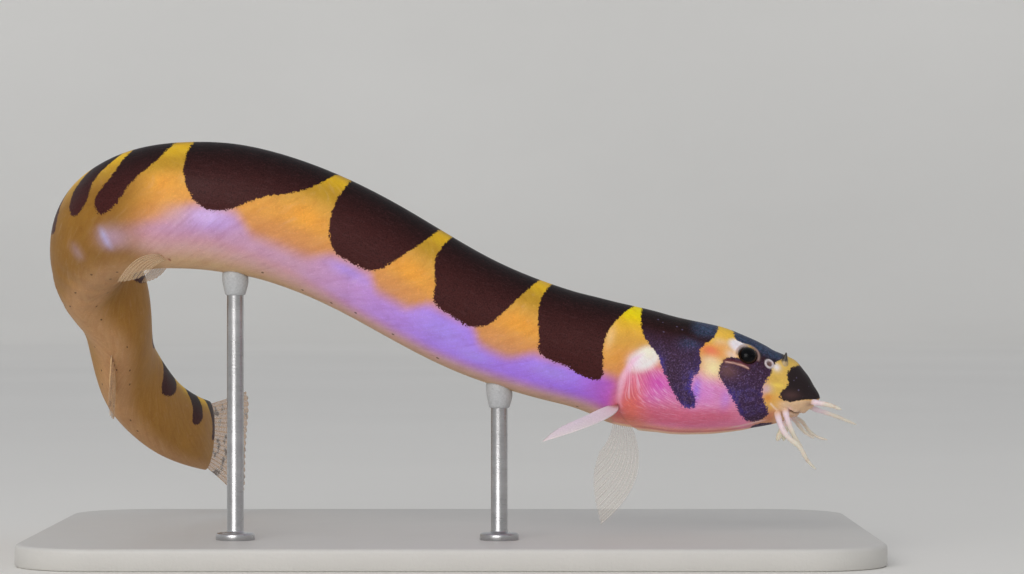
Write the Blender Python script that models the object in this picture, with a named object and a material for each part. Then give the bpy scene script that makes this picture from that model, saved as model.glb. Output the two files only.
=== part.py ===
"""Kuhli loach, life size, as a still museum model on a plain display stand.

Metres, +Z up. The fish faces +X, its left flank faces +Y at the front. The origin is on the
surface that the stand rests on, under the middle of its base plate, whose sides are also
the sides of the whole model's box.

The body is one long tube about a curved axis. Each cross-section stands square to the axis
and upright, and is given by its height above the axis, its depth below it and its half
width. Everything else is placed on that skin by two numbers: the distance along the axis
from the snout, and the angle round the body from the back (0) over the left flank (90) to
the belly (180), with the right flank negative.
"""

import math

import bpy
import bmesh
import numpy as np
from mathutils import Vector
from mathutils.bvhtree import BVHTree

# Metres in a millimetre: every size below is in millimetres, and meshes are made in metres
MM = 0.001

# Gap that pieces keep where they touch
GAP_MM = 0.3

# Axis of the body from the snout to the end of the tail stalk, x y z in millimetres:
# a level, slightly sagging fore body, then a turn away to the fish's left and down
AXIS = [
    (26.50, -13.00, 11.80), (25.05, -13.00, 12.25), (23.45, -13.00, 12.50),
    (21.15, -13.00, 12.80), (18.45, -13.00, 13.20), (13.05, -13.00, 14.10),
    (7.25, -13.00, 15.65), (1.55, -13.00, 17.75), (-6.35, -13.00, 22.05),
    (-12.45, -13.00, 24.65), (-15.90, -13.00, 25.50), (-18.70, -13.00, 25.75),
    (-21.70, -12.60, 25.57), (-24.30, -11.15, 24.78), (-26.25, -8.60, 23.38),
    (-26.75, -5.70, 21.35), (-25.65, -2.90, 18.80), (-25.30, -0.35, 16.00),
    (-24.90, 2.00, 13.30), (-23.70, 4.30, 11.10), (-22.25, 6.75, 9.50),
    (-20.80, 9.30, 8.55), (-19.85, 12.05, 8.05),
]

# Body sections in millimetres: distance from the snout, height above the axis, depth below
# it, half width
SECTIONS = [
    (0.00, 0.00, 0.00, 0.00), (0.15, 0.22, 0.48, 0.36), (0.36, 0.42, 0.86, 0.65),
    (0.75, 0.75, 1.22, 1.00), (1.15, 1.17, 1.49, 1.28), (1.50, 1.50, 1.77, 1.47),
    (2.25, 2.19, 2.20, 1.80), (3.00, 2.47, 2.52, 2.05), (3.75, 2.68, 2.78, 2.27),
    (4.45, 2.97, 3.00, 2.45), (5.50, 3.31, 3.38, 2.63), (8.05, 3.86, 4.02, 2.95),
    (10.80, 4.02, 4.36, 3.13), (13.55, 4.23, 4.38, 3.17), (14.60, 4.24, 4.32, 3.17),
    (15.90, 4.22, 4.02, 3.16), (17.30, 4.20, 3.90, 3.15), (19.50, 4.12, 4.00, 3.13),
    (25.60, 4.23, 4.20, 3.13), (34.60, 4.42, 4.34, 3.20), (41.30, 4.56, 4.50, 3.28),
    (44.80, 4.60, 4.68, 3.32), (48.60, 4.46, 4.62, 3.30), (54.00, 4.15, 4.22, 3.20),
    (64.80, 3.65, 3.65, 2.65), (75.60, 3.10, 3.10, 1.85), (81.40, 2.81, 2.81, 1.20),
    (85.30, 2.74, 2.74, 0.65),
]

# Where the body is parted, from the snout, in millimetres
HEAD_END = 15.60
TRUNK_PARTINGS = (30.80, 46.00)
TRUNK_END = 58.50
TAIL_PARTING = 71.80
TAIL_END = 85.10

# Mouth: the line of the lips crosses the underside in a crescent
MOUTH_FRONT = 1.00
MOUTH_SWEEP = 1.25
MOUTH_HALF_ANGLE = 50.0
MOUTH_GROOVE = 0.17
LIP_RISE = 0.13
LIP_SPACING = 0.26

# Gill cover: its free edge as (angle from the back, distance from the snout)
GILL_EDGE = [(58, 11.9), (66, 12.6), (86, 14.0), (110, 14.4), (126, 14.3), (150, 13.6),
             (172, 12.6)]
GILL_GROOVE = 0.15
GILL_RISE = 0.07

# Eyes
EYE_ALONG = 5.75
EYE_ANGLE = 51.0
EYE_RADIUS = 0.72
EYE_SINK = 0.40

# Nostrils: a short tube in front, a low rim behind it
TUBE_ALONG = 3.00
TUBE_ANGLES = {"right": 38.0, "left": 45.0}
TUBE_RADIUS = 0.20
TUBE_HEIGHT = 0.64
TUBE_LEAN = (0.18, 0, 0.78)
RIM_ALONG = 4.10
RIM_ANGLE = 53.0
RIM_RADIUS = 0.29
RIM_THICKNESS = 0.09

# Feelers: widths in millimetres from root to tip
BARBEL_WIDTHS = (0.55, 0.52, 0.50, 0.42, 0.18)
LOBE_WIDTHS = (0.52, 0.50, 0.20)

# Fins: blade and ray thickness, and for each fin its place on the skin, its number of rays,
# the length of its longest ray and its half width at the root
FIN_THICKNESS = 0.5
RAY_RIDGE = 0.12
FIN_TIP = 0.22
PECTORALS = {
    "right": {"along": 14.6, "angle": 136, "rays": 9, "length": 8.0, "root": 0.35},
    "left": {"along": 14.2, "angle": 141, "rays": 9, "length": 8.5, "root": 0.35},
}
PELVIC = {"along": 49.6, "angle": 150, "rays": 7, "length": 3.9, "root": 0.30}
DORSAL = {"start": 58.9, "end": 62.9, "angle": 0, "rays": 8, "height": 4.6}
ANAL = {"start": 67.2, "end": 70.9, "angle": 180, "rays": 7, "height": 3.9}
RIDGE_FIN_SWEEP = 0.75
CAUDAL = {"rays": 15, "length": 9.4, "root": 0.90, "spread": 0.24}

# Leaf outline of the paired fins, per length of the leading ray: share of the rays, reach of
# the ray's end, its place across; and how far the first and the last ray bow forward
LEAF = [(0.0, 1.00, 0.0), (0.25, 0.89, -0.041), (0.5, 0.74, -0.088), (0.75, 0.56, -0.114),
        (1.0, 0.375, -0.088)]
LEAF_BOW = (0.24, 0.06)

# Stand
BASE_LENGTH = 62.0
BASE_WIDTH = 44.0
BASE_THICKNESS = 1.6
BASE_CORNER = 6.0
BASE_BEVEL = 0.3
ROD_RADIUS = 0.6
ROD_SOCKET_DEPTH = 1.0
ROD_PLACES = {"stand_rod_front": 3.4, "stand_rod_rear": -15.6}


def natural_spline(knots, values, at):
    """Cubic through the values at the knots, straight at its ends, read at each of `at`."""
    n = len(knots)
    step = np.diff(knots)
    system = np.eye(n)
    right = np.zeros(values.shape)
    for i in range(1, n - 1):
        system[i, i - 1:i + 2] = step[i - 1], 2 * (step[i - 1] + step[i]), step[i]
        right[i] = 6 * ((values[i + 1] - values[i]) / step[i]
                        - (values[i] - values[i - 1]) / step[i - 1])
    bend = np.linalg.solve(system, right)
    i = np.clip(np.searchsorted(knots, at, side="right") - 1, 0, n - 2)
    h = step[i][:, None]
    b = (at - knots[i])[:, None]
    a = h - b
    return ((bend[i] * a ** 3 + bend[i + 1] * b ** 3) / (6 * h)
            + (values[i] / h - bend[i] * h / 6) * a
            + (values[i + 1] / h - bend[i + 1] * h / 6) * b)


def smooth_read(knots, values, at):
    """Cubic through the values that never overshoots them."""
    knots = np.asarray(knots, float)
    values = np.asarray(values, float)
    step = np.diff(knots)
    slope = np.diff(values) / step
    tangent = np.zeros(len(values))
    same = slope[:-1] * slope[1:] > 0
    total = np.where(same, slope[:-1] + slope[1:], 1)
    tangent[1:-1] = np.where(same, 2 * slope[:-1] * slope[1:] / total, 0)
    tangent[0], tangent[-1] = slope[0], slope[-1]
    i = np.clip(np.searchsorted(knots, at, side="right") - 1, 0, len(knots) - 2)
    t = (np.asarray(at, float) - knots[i]) / step[i]
    return ((1 + 2 * t) * (1 - t) ** 2 * values[i] + t * (1 - t) ** 2 * step[i] * tangent[i]
            + t * t * (3 - 2 * t) * values[i + 1] + t * t * (t - 1) * step[i] * tangent[i + 1])


class Axis:
    """The body's axis by length, with its tailward, dorsal and leftward directions."""

    def __init__(self, points, samples=1600):
        points = np.array(points)
        chord = np.r_[0, np.cumsum(np.linalg.norm(np.diff(points, axis=0), axis=1))]
        fine = natural_spline(chord, points, np.linspace(0, chord[-1], 4 * samples))
        arc = np.r_[0, np.cumsum(np.linalg.norm(np.diff(fine, axis=0), axis=1))]
        self.along = np.linspace(0, arc[-1], samples)
        self.centre = np.stack([np.interp(self.along, arc, fine[:, k]) for k in range(3)], -1)
        tail = np.gradient(self.centre, self.along, axis=0)
        self.tail = tail / np.linalg.norm(tail, axis=1, keepdims=True)
        back = np.array([0, 0, 1.0]) - self.tail * self.tail[:, 2:3]
        self.back = back / np.linalg.norm(back, axis=1, keepdims=True)
        self.left = np.cross(self.tail, self.back)

    def read(self, along):
        """Centre, tailward, dorsal and leftward directions at a distance from the snout."""
        return [np.stack([np.interp(along, self.along, a[:, k]) for k in range(3)], -1)
                for a in (self.centre, self.tail, self.back, self.left)]


AXIS_LINE = Axis(AXIS)


def bump(distance, width):
    """A smooth hump of height 1 that falls to nothing at about twice its width."""
    return np.exp(-(distance / width) ** 2)


def relief(along, angle):
    """Height of the lips, the mouth line and the gill cover's edge over the plain skin."""
    from_belly = np.abs(180 - np.abs(angle))
    mouth = MOUTH_FRONT + MOUTH_SWEEP * (from_belly / MOUTH_HALF_ANGLE) ** 2
    fade = 1 / (1 + np.exp((from_belly - MOUTH_HALF_ANGLE) / 4))
    off = along - mouth
    lips = bump(off + LIP_SPACING, 0.17) + bump(off - LIP_SPACING, 0.17)
    height = fade * (LIP_RISE * lips - MOUTH_GROOVE * bump(off, 0.10))
    gill_angle, gill_along = zip(*GILL_EDGE)
    edge = smooth_read(gill_angle, gill_along, np.clip(np.abs(angle), gill_angle[0], gill_angle[-1]))
    inside = bump(np.clip(gill_angle[0] - np.abs(angle), 0, None), 8)
    off = along - edge
    height += inside * (GILL_RISE * bump(off + 0.3, 0.35) - GILL_GROOVE * bump(off - 0.12, 0.22))
    return height


def skin(along, angle, out=0.0):
    """Points of the body's surface, moved outwards by `out`, and the outward directions."""
    along, angle = np.broadcast_arrays(np.asarray(along, float), np.asarray(angle, float))
    centre, _, back, left = AXIS_LINE.read(along)
    table = np.array(SECTIONS).T
    height, depth, width = (smooth_read(table[0], table[k], along) for k in (1, 2, 3))
    c = np.cos(np.radians(angle))
    s = np.sin(np.radians(angle))
    rise = np.where(c > 0, height, depth)
    outward = back * (c * width)[..., None] + left * (s * rise)[..., None]
    length = np.linalg.norm(outward, axis=-1, keepdims=True)
    outward = np.where(length > 1e-9, outward / np.maximum(length, 1e-9), back)
    plain = centre + back * (c * rise)[..., None] + left * (s * width)[..., None]
    return plain + outward * (relief(along, angle) + out)[..., None], outward


def material(name, colour, roughness, metallic=0.0):
    """A Principled material of one plain colour."""
    made = bpy.data.materials.new(name)
    made.use_nodes = True
    shader = made.node_tree.nodes["Principled BSDF"]
    shader.inputs["Base Color"].default_value = (*colour, 1)
    shader.inputs["Roughness"].default_value = roughness
    shader.inputs["Metallic"].default_value = metallic
    return made


def make_object(name, points, faces, finish, smooth=True):
    """A closed mesh object from points in millimetres, its faces turned outwards."""
    mesh = bpy.data.meshes.new(name)
    mesh.from_pydata((np.asarray(points) * MM).tolist(), [], faces)
    shell = bmesh.new()
    shell.from_mesh(mesh)
    bmesh.ops.recalc_face_normals(shell, faces=shell.faces)
    shell.to_mesh(mesh)
    shell.free()
    if smooth:
        mesh.shade_smooth()
        mesh.set_sharp_from_angle(angle=math.radians(50))
    mesh.materials.append(finish)
    piece = bpy.data.objects.new(name, mesh)
    bpy.context.scene.collection.objects.link(piece)
    return piece


def tube_faces(rings, around, start, end):
    """Triangles of a tube of rings, closed at both ends by fans on the points start and end."""
    faces = []
    for i in range(rings - 1):
        for j in range(around):
            k = (j + 1) % around
            a, b = i * around + j, i * around + k
            c, d = a + around, b + around
            faces += [(a, b, d), (a, d, c)]
    last = (rings - 1) * around
    for j in range(around):
        k = (j + 1) % around
        faces += [(start, k, j), (end, last + j, last + k)]
    return faces


def body_length(name, stations, around, finish):
    """One length of the body: a ring at each station, closed by flat ends."""
    stations = np.asarray(stations, float)
    angles = np.arange(around) * 360 / around
    rings, _ = skin(stations[:, None], np.where(angles > 180, angles - 360, angles)[None])
    ends = AXIS_LINE.read(stations[[0, -1]])[0]
    if stations[0] < 0.2:
        ends[0] = AXIS_LINE.read(0.0)[0]
    points = np.concatenate([rings.reshape(-1, 3), ends])
    count = len(stations) * around
    return make_object(name, points, tube_faces(len(stations), around, count, count + 1), finish)


def spread(start, end, step):
    """Evenly spaced stations from start to end, about a step apart."""
    return np.linspace(start, end, max(2, round((end - start) / step) + 1))


def joined_to(piece, others, operation="UNION"):
    """Fuses the other objects with a piece, or cuts them from it, and removes them."""
    group = bpy.data.collections.new(piece.name + "_pieces")
    for other in others:
        bpy.context.scene.collection.objects.unlink(other)
        group.objects.link(other)
    bpy.context.scene.collection.children.link(group)
    change = piece.modifiers.new("join", "BOOLEAN")
    change.operation = operation
    change.operand_type = "COLLECTION"
    change.collection = group
    change.solver = "EXACT"
    view = bpy.context.evaluated_depsgraph_get()
    result = bpy.data.meshes.new_from_object(piece.evaluated_get(view))
    piece.modifiers.clear()
    piece.data = result
    for other in others:
        bpy.data.objects.remove(other)
    bpy.data.collections.remove(group)
    keep_largest(piece)
    return piece


def keep_largest(piece):
    """Leaves only the largest closed surface of a piece."""
    shell = bmesh.new()
    shell.from_mesh(piece.data)
    left_over = set(shell.faces)
    best = set()
    while left_over:
        seed = left_over.pop()
        island = {seed}
        front = [seed]
        while front:
            face = front.pop()
            for edge in face.edges:
                for other in edge.link_faces:
                    if other not in island:
                        island.add(other)
                        front.append(other)
        left_over -= island
        if len(island) > len(best):
            best = island
    bmesh.ops.delete(shell, geom=[f for f in shell.faces if f not in best], context="FACES")
    shell.to_mesh(piece.data)
    shell.free()


def ball(name, centre, radius, finish, rings=14, around=20):
    """A closed sphere."""
    tilt = np.pi * np.arange(1, rings) / rings
    turn = 2 * np.pi * np.arange(around) / around
    x = np.sin(tilt)[:, None] * np.cos(turn)[None]
    y = np.sin(tilt)[:, None] * np.sin(turn)[None]
    z = np.cos(tilt)[:, None] * np.ones(around)[None]
    points = np.concatenate([np.stack([x, y, z], -1).reshape(-1, 3), [(0, 0, 1), (0, 0, -1)]])
    count = (rings - 1) * around
    return make_object(name, np.asarray(centre) + radius * points,
                       tube_faces(rings - 1, around, count, count + 1), finish)


def feeler(name, points, widths, finish, around=8, step=0.42):
    """A tapered round tube along a smooth curve through the points, with a narrow tip."""
    points = np.asarray(points, float)
    chord = np.r_[0, np.cumsum(np.linalg.norm(np.diff(points, axis=0), axis=1))]
    at = spread(0, chord[-1], step)
    path = natural_spline(chord, points, at)
    along = np.gradient(path, axis=0)
    along /= np.linalg.norm(along, axis=1, keepdims=True)
    radius = np.interp(at / chord[-1], np.linspace(0, 1, len(widths)), widths) / 2
    side = np.cross(along[0], (0, 0.2, 1))
    rings = []
    turn = 2 * np.pi * np.arange(around) / around
    for p, t, r in zip(path, along, radius):
        side = side - t * side.dot(t)
        side /= np.linalg.norm(side)
        other = np.cross(t, side)
        rings.append(p + r * (np.cos(turn)[:, None] * side + np.sin(turn)[:, None] * other))
    count = len(path) * around
    points = np.concatenate([np.concatenate(rings), [path[0], path[-1] + along[-1] * radius[-1]]])
    return make_object(name, points, tube_faces(len(path), around, count, count + 1), finish)


def fin(name, roots, rays, bows, finish, rows=8):
    """A fin as a thin closed blade whose rays stand as ridges on both faces.

    roots are the points where the rays leave the body, one per ray; rays are the vectors
    from each root to its ray's tip, and bows are how far each ray's middle bows aside.
    Between two rays the membrane's line lies half way and is thinner.
    """
    roots, rays, bows = (np.repeat(np.asarray(a, float), 2, axis=0)[:-1] for a in (roots, rays, bows))
    for a in (roots, rays, bows):
        a[1::2] = (a[0:-1:2] + a[2::2]) / 2
    rays[1::2] *= 0.975
    columns = len(roots)
    b = np.linspace(0, 1, rows)[None, :, None]
    sheet = roots[:, None] + rays[:, None] * b + bows[:, None] * (4 * b * (1 - b))
    across = np.gradient(sheet, axis=0)
    normal = np.cross(across, np.gradient(sheet, axis=1))
    normal /= np.linalg.norm(normal, axis=-1, keepdims=True)
    half = np.full((columns, rows), FIN_THICKNESS / 2)
    half[::2] += RAY_RIDGE / 2
    half *= np.interp(np.linspace(0, 1, rows), (0, 0.8, 1), (1, 1, FIN_TIP / FIN_THICKNESS))[None]
    front = sheet + normal * half[..., None]
    rear = sheet - normal * half[..., None]
    count = columns * rows
    faces = []
    for i in range(columns - 1):
        for j in range(rows - 1):
            a = i * rows + j
            for f in ((a, a + rows, a + rows + 1), (a, a + rows + 1, a + 1)):
                faces += [f, tuple(count + k for k in reversed(f))]
    rim = ([i * rows for i in range(columns)]
           + [(columns - 1) * rows + j for j in range(1, rows)]
           + [i * rows + rows - 1 for i in range(columns - 2, -1, -1)]
           + [j for j in range(rows - 2, 0, -1)])
    for a, b in zip(rim, rim[1:] + rim[:1]):
        faces += [(a, count + a, count + b), (a, count + b, b)]
    return make_object(name, np.concatenate([front.reshape(-1, 3), rear.reshape(-1, 3)]), faces, finish)


def head(finish):
    """Head and shoulder in one solid, with mouth, lips, nostrils, gill edge and eye sockets."""
    stations = np.r_[0.07, 0.17, 0.31, spread(0.48, 2.0, 0.17), spread(2.3, 5.3, 0.42),
                     spread(5.8, 11.4, 0.8), spread(11.8, 15.1, 0.275), HEAD_END]
    body = body_length("head", stations, 44, finish)
    parts = []
    for side, turn in (("right", -1), ("left", 1)):
        foot, out = skin(TUBE_ALONG, turn * TUBE_ANGLES[side])
        lean = 0.35 * out + np.array(TUBE_LEAN)
        parts.append(feeler("tube_" + side, [foot - 0.35 * out, foot + 0.1 * lean, foot + TUBE_HEIGHT * lean],
                            (2.4 * TUBE_RADIUS, 2 * TUBE_RADIUS, 1.1 * TUBE_RADIUS), finish, step=0.3))
        parts.append(ring_on_skin("rim_" + side, turn, finish))
    joined_to(body, parts)
    sockets = []
    for side, turn in (("right", -1), ("left", 1)):
        centre, _ = skin(EYE_ALONG, turn * EYE_ANGLE, -EYE_SINK)
        sockets.append(ball("socket_" + side, centre, EYE_RADIUS + GAP_MM, finish))
    return joined_to(body, sockets, "DIFFERENCE")


def ring_on_skin(name, turn, finish, around=14, sides=6):
    """The raised rim of a rear nostril: a small ring lying on the skin."""
    centre, out = skin(RIM_ALONG, turn * RIM_ANGLE)
    first = np.cross(out, (0, 0, 1.0))
    first /= np.linalg.norm(first)
    second = np.cross(out, first)
    points = []
    for a in 2 * np.pi * np.arange(around) / around:
        spoke = math.cos(a) * first + math.sin(a) * second
        for b in 2 * np.pi * np.arange(sides) / sides:
            points.append(centre + spoke * (RIM_RADIUS + RIM_THICKNESS * math.cos(b))
                          + out * (RIM_THICKNESS * 1.3 * math.sin(b)))
    faces = []
    for i in range(around):
        for j in range(sides):
            a, b = i * sides + j, i * sides + (j + 1) % sides
            c = (i + 1) % around * sides + j
            d = (i + 1) % around * sides + (j + 1) % sides
            faces += [(a, b, d), (a, d, c)]
    return make_object(name, points, faces, finish)


def from_skin(along, angle, path):
    """A feeler's route: square out of the skin, a gap clear of it, then through the path."""
    start, out = skin(along, angle, GAP_MM)
    return [start, start + 0.25 * out] + list(path)


def feelers(finish):
    """Three pairs of barbels round the mouth and the two lobes of the lower lip."""
    thick = BARBEL_WIDTHS
    lobe = LOBE_WIDTHS
    y = AXIS[0][1]
    routes = {
        "barbel_rostral_right": (0.45, -116, thick, [(27.0, y - 0.85, 11.35), (27.95, y - 1.0, 11.0)]),
        "barbel_rostral_left": (0.50, 142, thick, [(27.0, y + 0.80, 10.72), (29.2, y + 1.0, 9.85)]),
        "barbel_maxillary_right": (3.15, -127, thick, [
            (23.50, y - 2.25, 9.95), (24.05, y - 2.40, 9.05), (24.85, y - 2.35, 8.35),
            (25.35, y - 2.25, 7.50), (26.00, y - 2.10, 6.80)]),
        "barbel_maxillary_left": (3.15, 127, thick, [
            (24.30, y + 2.40, 10.45), (25.35, y + 2.35, 10.05), (25.85, y + 2.30, 9.40),
            (26.55, y + 2.15, 8.90), (27.20, y + 2.00, 8.70)]),
        "barbel_mandibular_right": (2.45, -138, thick, [
            (24.15, y - 1.60, 9.85), (24.50, y - 1.55, 9.15), (25.10, y - 1.45, 8.30)]),
        "barbel_mandibular_left": (2.45, 138, thick, [
            (24.80, y + 1.50, 10.15), (25.35, y + 1.45, 9.45), (26.20, y + 1.35, 8.85)]),
        "lobe_mental_right": (2.15, -166, lobe, [(23.75, y - 0.55, 9.55), (23.35, y - 0.60, 8.75)]),
        "lobe_mental_left": (2.15, 166, lobe, [(24.05, y + 0.55, 9.45), (23.90, y + 0.55, 8.70)]),
    }
    for name, (along, angle, widths, path) in routes.items():
        feeler(name, from_skin(along, angle, path), widths, finish)


def blade(name, foot, span, across, lift, size, finish, rows):
    """A leaf-shaped paired fin: the first ray runs to the tip, the rest end on the rear margin."""
    share = np.linspace(0, 1, size["rays"])
    span = np.array(span) / np.linalg.norm(span)
    across = np.array(across) - span * span.dot(across)
    across /= np.linalg.norm(across)
    table = np.array(LEAF).T
    reach = size["length"] * smooth_read(table[0], table[1], share)
    place = size["length"] * smooth_read(table[0], table[2], share)
    roots = foot + across * (size["root"] * (1 - 2 * share))[:, None]
    ends = foot + span * reach[:, None] + across * place[:, None]
    bow = size["length"] * (LEAF_BOW[0] + (LEAF_BOW[1] - LEAF_BOW[0]) * share)
    fin(name, roots, ends - roots, across * bow[:, None] + np.array(lift), finish, rows=rows)


def pectoral_fins(finish):
    """Breast fins: narrow root behind the gill cover, long pointed leaf of nine rays."""
    for side, turn, span, across, lift in (
            ("right", -1, (-0.62, -0.73, -0.27), (0.76, -0.65, 0.0), (0, 0, 0.25)),
            ("left", 1, (-0.117, 0.12, -0.993), (0.993, 0.0, -0.117), (0, 0.3, 0))):
        size = PECTORALS[side]
        foot, _ = skin(size["along"], turn * size["angle"], GAP_MM + 0.20)
        blade("pectoral_fin_" + side, foot, span, across, lift, size, finish, 9)


def pelvic_fins(finish):
    """Belly fins: small, seven rays, swept back and out."""
    for name, turn in (("pelvic_fin_right", -1), ("pelvic_fin_left", 1)):
        foot, _ = skin(PELVIC["along"], turn * PELVIC["angle"], GAP_MM + 0.20)
        _, tail, back, left = AXIS_LINE.read(PELVIC["along"])
        span = 0.80 * tail - 0.35 * back + turn * 0.45 * left
        across = 0.5 * back + turn * 0.2 * left - 0.1 * tail
        blade(name, foot, span, across, (0, 0, 0), PELVIC, finish, 6)


def ridge_fin(name, size, finish):
    """A fin on the mid line of the back or the belly, its rays leaning tailward."""
    share = np.linspace(0, 1, size["rays"])
    along = size["start"] + (size["end"] - size["start"]) * share
    roots, out = skin(along, size["angle"], GAP_MM)
    tail = AXIS_LINE.read(along)[1]
    reach = size["height"] * (1 - 0.62 * share ** 1.3) * np.interp(share, (0, 0.12, 1), (0.86, 1, 1))
    rays = out * reach[:, None] + tail * (RIDGE_FIN_SWEEP * reach * (0.8 + 0.5 * share))[:, None]
    fin(name, roots, rays, np.zeros(rays.shape), finish, rows=6)


def caudal_fin(finish):
    """Tail fin: a broad fan of fifteen rays with a slightly hollow rear edge."""
    share = np.linspace(-1, 1, CAUDAL["rays"])
    centre, tail, back, left = AXIS_LINE.read(TAIL_END)
    depth = smooth_read([r[0] for r in SECTIONS], [r[1] for r in SECTIONS], TAIL_END)
    roots = centre + tail * GAP_MM + back * (share * CAUDAL["root"] * depth)[:, None]
    length = CAUDAL["length"] * (1 - 0.10 * (1 - share ** 2) - 0.14 * np.abs(share) ** 6)
    direction = tail + back * (CAUDAL["spread"] * share)[:, None]
    direction /= np.linalg.norm(direction, axis=1, keepdims=True)
    bows = left * (0.35 * np.cos(share))[:, None]
    fin("caudal_fin", roots, direction * length[:, None], bows, finish, rows=8)


def outline_prism(name, outline, low, high, finish):
    """A flat plate of the given outline between two heights."""
    count = len(outline)
    points = [(x, y, z) for z in (low, high) for x, y in outline]
    faces = [tuple(range(count))[::-1], tuple(range(count, 2 * count))]
    faces += [(i, (i + 1) % count, count + (i + 1) % count, count + i) for i in range(count)]
    return make_object(name, points, faces, finish, smooth=False)


def circle(x, y, radius, around):
    """Points round a circle."""
    turn = 2 * np.pi * np.arange(around) / around
    return [(x + radius * math.cos(a), y + radius * math.sin(a)) for a in turn]


def stand(metal, paint, underside):
    """Base plate with two blind sockets, and the rods that stand in them up to the belly."""
    corner = []
    for i, (sx, sy) in enumerate(((1, 1), (-1, 1), (-1, -1), (1, -1))):
        for a in np.radians(np.linspace(90 * i, 90 * i + 90, 7)):
            corner.append((sx * (BASE_LENGTH / 2 - BASE_CORNER) + BASE_CORNER * math.cos(a),
                           sy * (BASE_WIDTH / 2 - BASE_CORNER) + BASE_CORNER * math.sin(a)))
    base = outline_prism("stand_base", corner, 0, BASE_THICKNESS, paint)
    edge = base.modifiers.new("edge", "BEVEL")
    edge.width = BASE_BEVEL * MM
    edge.segments = 2
    edge.limit_method = "ANGLE"
    edge.angle_limit = math.radians(60)
    y = AXIS[0][1]
    bottom = BASE_THICKNESS - ROD_SOCKET_DEPTH
    clear = ROD_RADIUS + GAP_MM
    cutters = [outline_prism("socket", circle(x, y, clear, 20), bottom, BASE_THICKNESS + 1, paint)
               for x in ROD_PLACES.values()]
    joined_to(base, cutters, "DIFFERENCE")
    for name, x in ROD_PLACES.items():
        around = circle(x, y, ROD_RADIUS, 16)
        foot = bottom + GAP_MM
        top = [underside(px, py) - GAP_MM for px, py in around]
        points = ([(px, py, foot) for px, py in around]
                  + [(px, py, z) for (px, py), z in zip(around, top)]
                  + [(x, y, foot), (x, y, underside(x, y) - GAP_MM)])
        faces = tube_faces(2, 16, 32, 33)
        make_object(name, points, faces, metal)


def underside_of(pieces):
    """A function that gives the height of the lowest skin above a point of the floor."""
    trees = [BVHTree.FromObject(p, bpy.context.evaluated_depsgraph_get()) for p in pieces]

    def height(x, y):
        start = Vector((x * MM, y * MM, BASE_THICKNESS * MM))
        hits = [tree.ray_cast(start, Vector((0, 0, 1)))[0] for tree in trees]
        return min(hit.z for hit in hits if hit) / MM

    return height


for old in list(bpy.data.objects):
    bpy.data.objects.remove(old)

FLESH = material("flesh", (0.62, 0.36, 0.22), 0.45)
EYE = material("eye", (0.01, 0.01, 0.012), 0.1)
BARBEL = material("barbel", (0.75, 0.62, 0.66), 0.45)
MEMBRANE = material("membrane", (0.80, 0.66, 0.60), 0.4)
BASE_PAINT = material("base_paint", (0.55, 0.54, 0.52), 0.5)
ROD_STEEL = material("rod_steel", (0.6, 0.6, 0.6), 0.3, 1.0)

head(FLESH)
trunk = []
starts = (HEAD_END,) + TRUNK_PARTINGS
ends = TRUNK_PARTINGS + (TRUNK_END,)
for label, start, end in zip(("front", "middle", "rear"), starts, ends):
    trunk.append(body_length("trunk_" + label, spread(start + GAP_MM, end, 1.2), 28, FLESH))
body_length("tail_front", spread(TRUNK_END + GAP_MM, TAIL_PARTING, 1.2), 28, FLESH)
body_length("tail_rear", spread(TAIL_PARTING + GAP_MM, TAIL_END, 1.2), 28, FLESH)
for side_name, side_turn in (("right", -1), ("left", 1)):
    eye_centre, _ = skin(EYE_ALONG, side_turn * EYE_ANGLE, -EYE_SINK)
    ball("eye_" + side_name, eye_centre, EYE_RADIUS, EYE, rings=10, around=16)
feelers(BARBEL)
pectoral_fins(MEMBRANE)
pelvic_fins(MEMBRANE)
ridge_fin("dorsal_fin", DORSAL, MEMBRANE)
ridge_fin("anal_fin", ANAL, MEMBRANE)
caudal_fin(MEMBRANE)
stand(ROD_STEEL, BASE_PAINT, underside_of(trunk))
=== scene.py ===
"""Kuhli loach, life size, as a still museum model on a display stand: fine shape and finish.

Sizes are in millimetres and become metres where a mesh is made. The fish faces +X, its left
flank is turned to +Y at the front, and +Z is up. A place on the fish is given by the distance
along its axis from the snout and the angle round it: 0 is the back, 90 the left flank, 180 the
belly, and the right flank is negative.
"""
import math
import bpy
import numpy as np
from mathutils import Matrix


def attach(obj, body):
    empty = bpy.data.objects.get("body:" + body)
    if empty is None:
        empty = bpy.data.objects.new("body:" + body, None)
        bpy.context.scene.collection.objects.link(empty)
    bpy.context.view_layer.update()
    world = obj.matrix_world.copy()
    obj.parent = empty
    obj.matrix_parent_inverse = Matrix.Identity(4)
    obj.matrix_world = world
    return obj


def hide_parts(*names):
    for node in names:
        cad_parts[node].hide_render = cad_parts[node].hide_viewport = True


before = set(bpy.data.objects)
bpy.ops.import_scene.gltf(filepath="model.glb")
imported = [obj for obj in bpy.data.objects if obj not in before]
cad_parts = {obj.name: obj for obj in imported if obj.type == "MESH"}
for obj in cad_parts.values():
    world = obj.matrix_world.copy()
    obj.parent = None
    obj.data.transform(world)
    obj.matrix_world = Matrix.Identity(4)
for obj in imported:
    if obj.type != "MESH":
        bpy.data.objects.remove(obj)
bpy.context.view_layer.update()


# The body is one skin from the lips to the root of the tail fin, thin, moist and nearly bare of
# scales, drawn tight over the flesh. It is a tube of upright oval sections along a bent axis.
MM = 0.001
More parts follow.
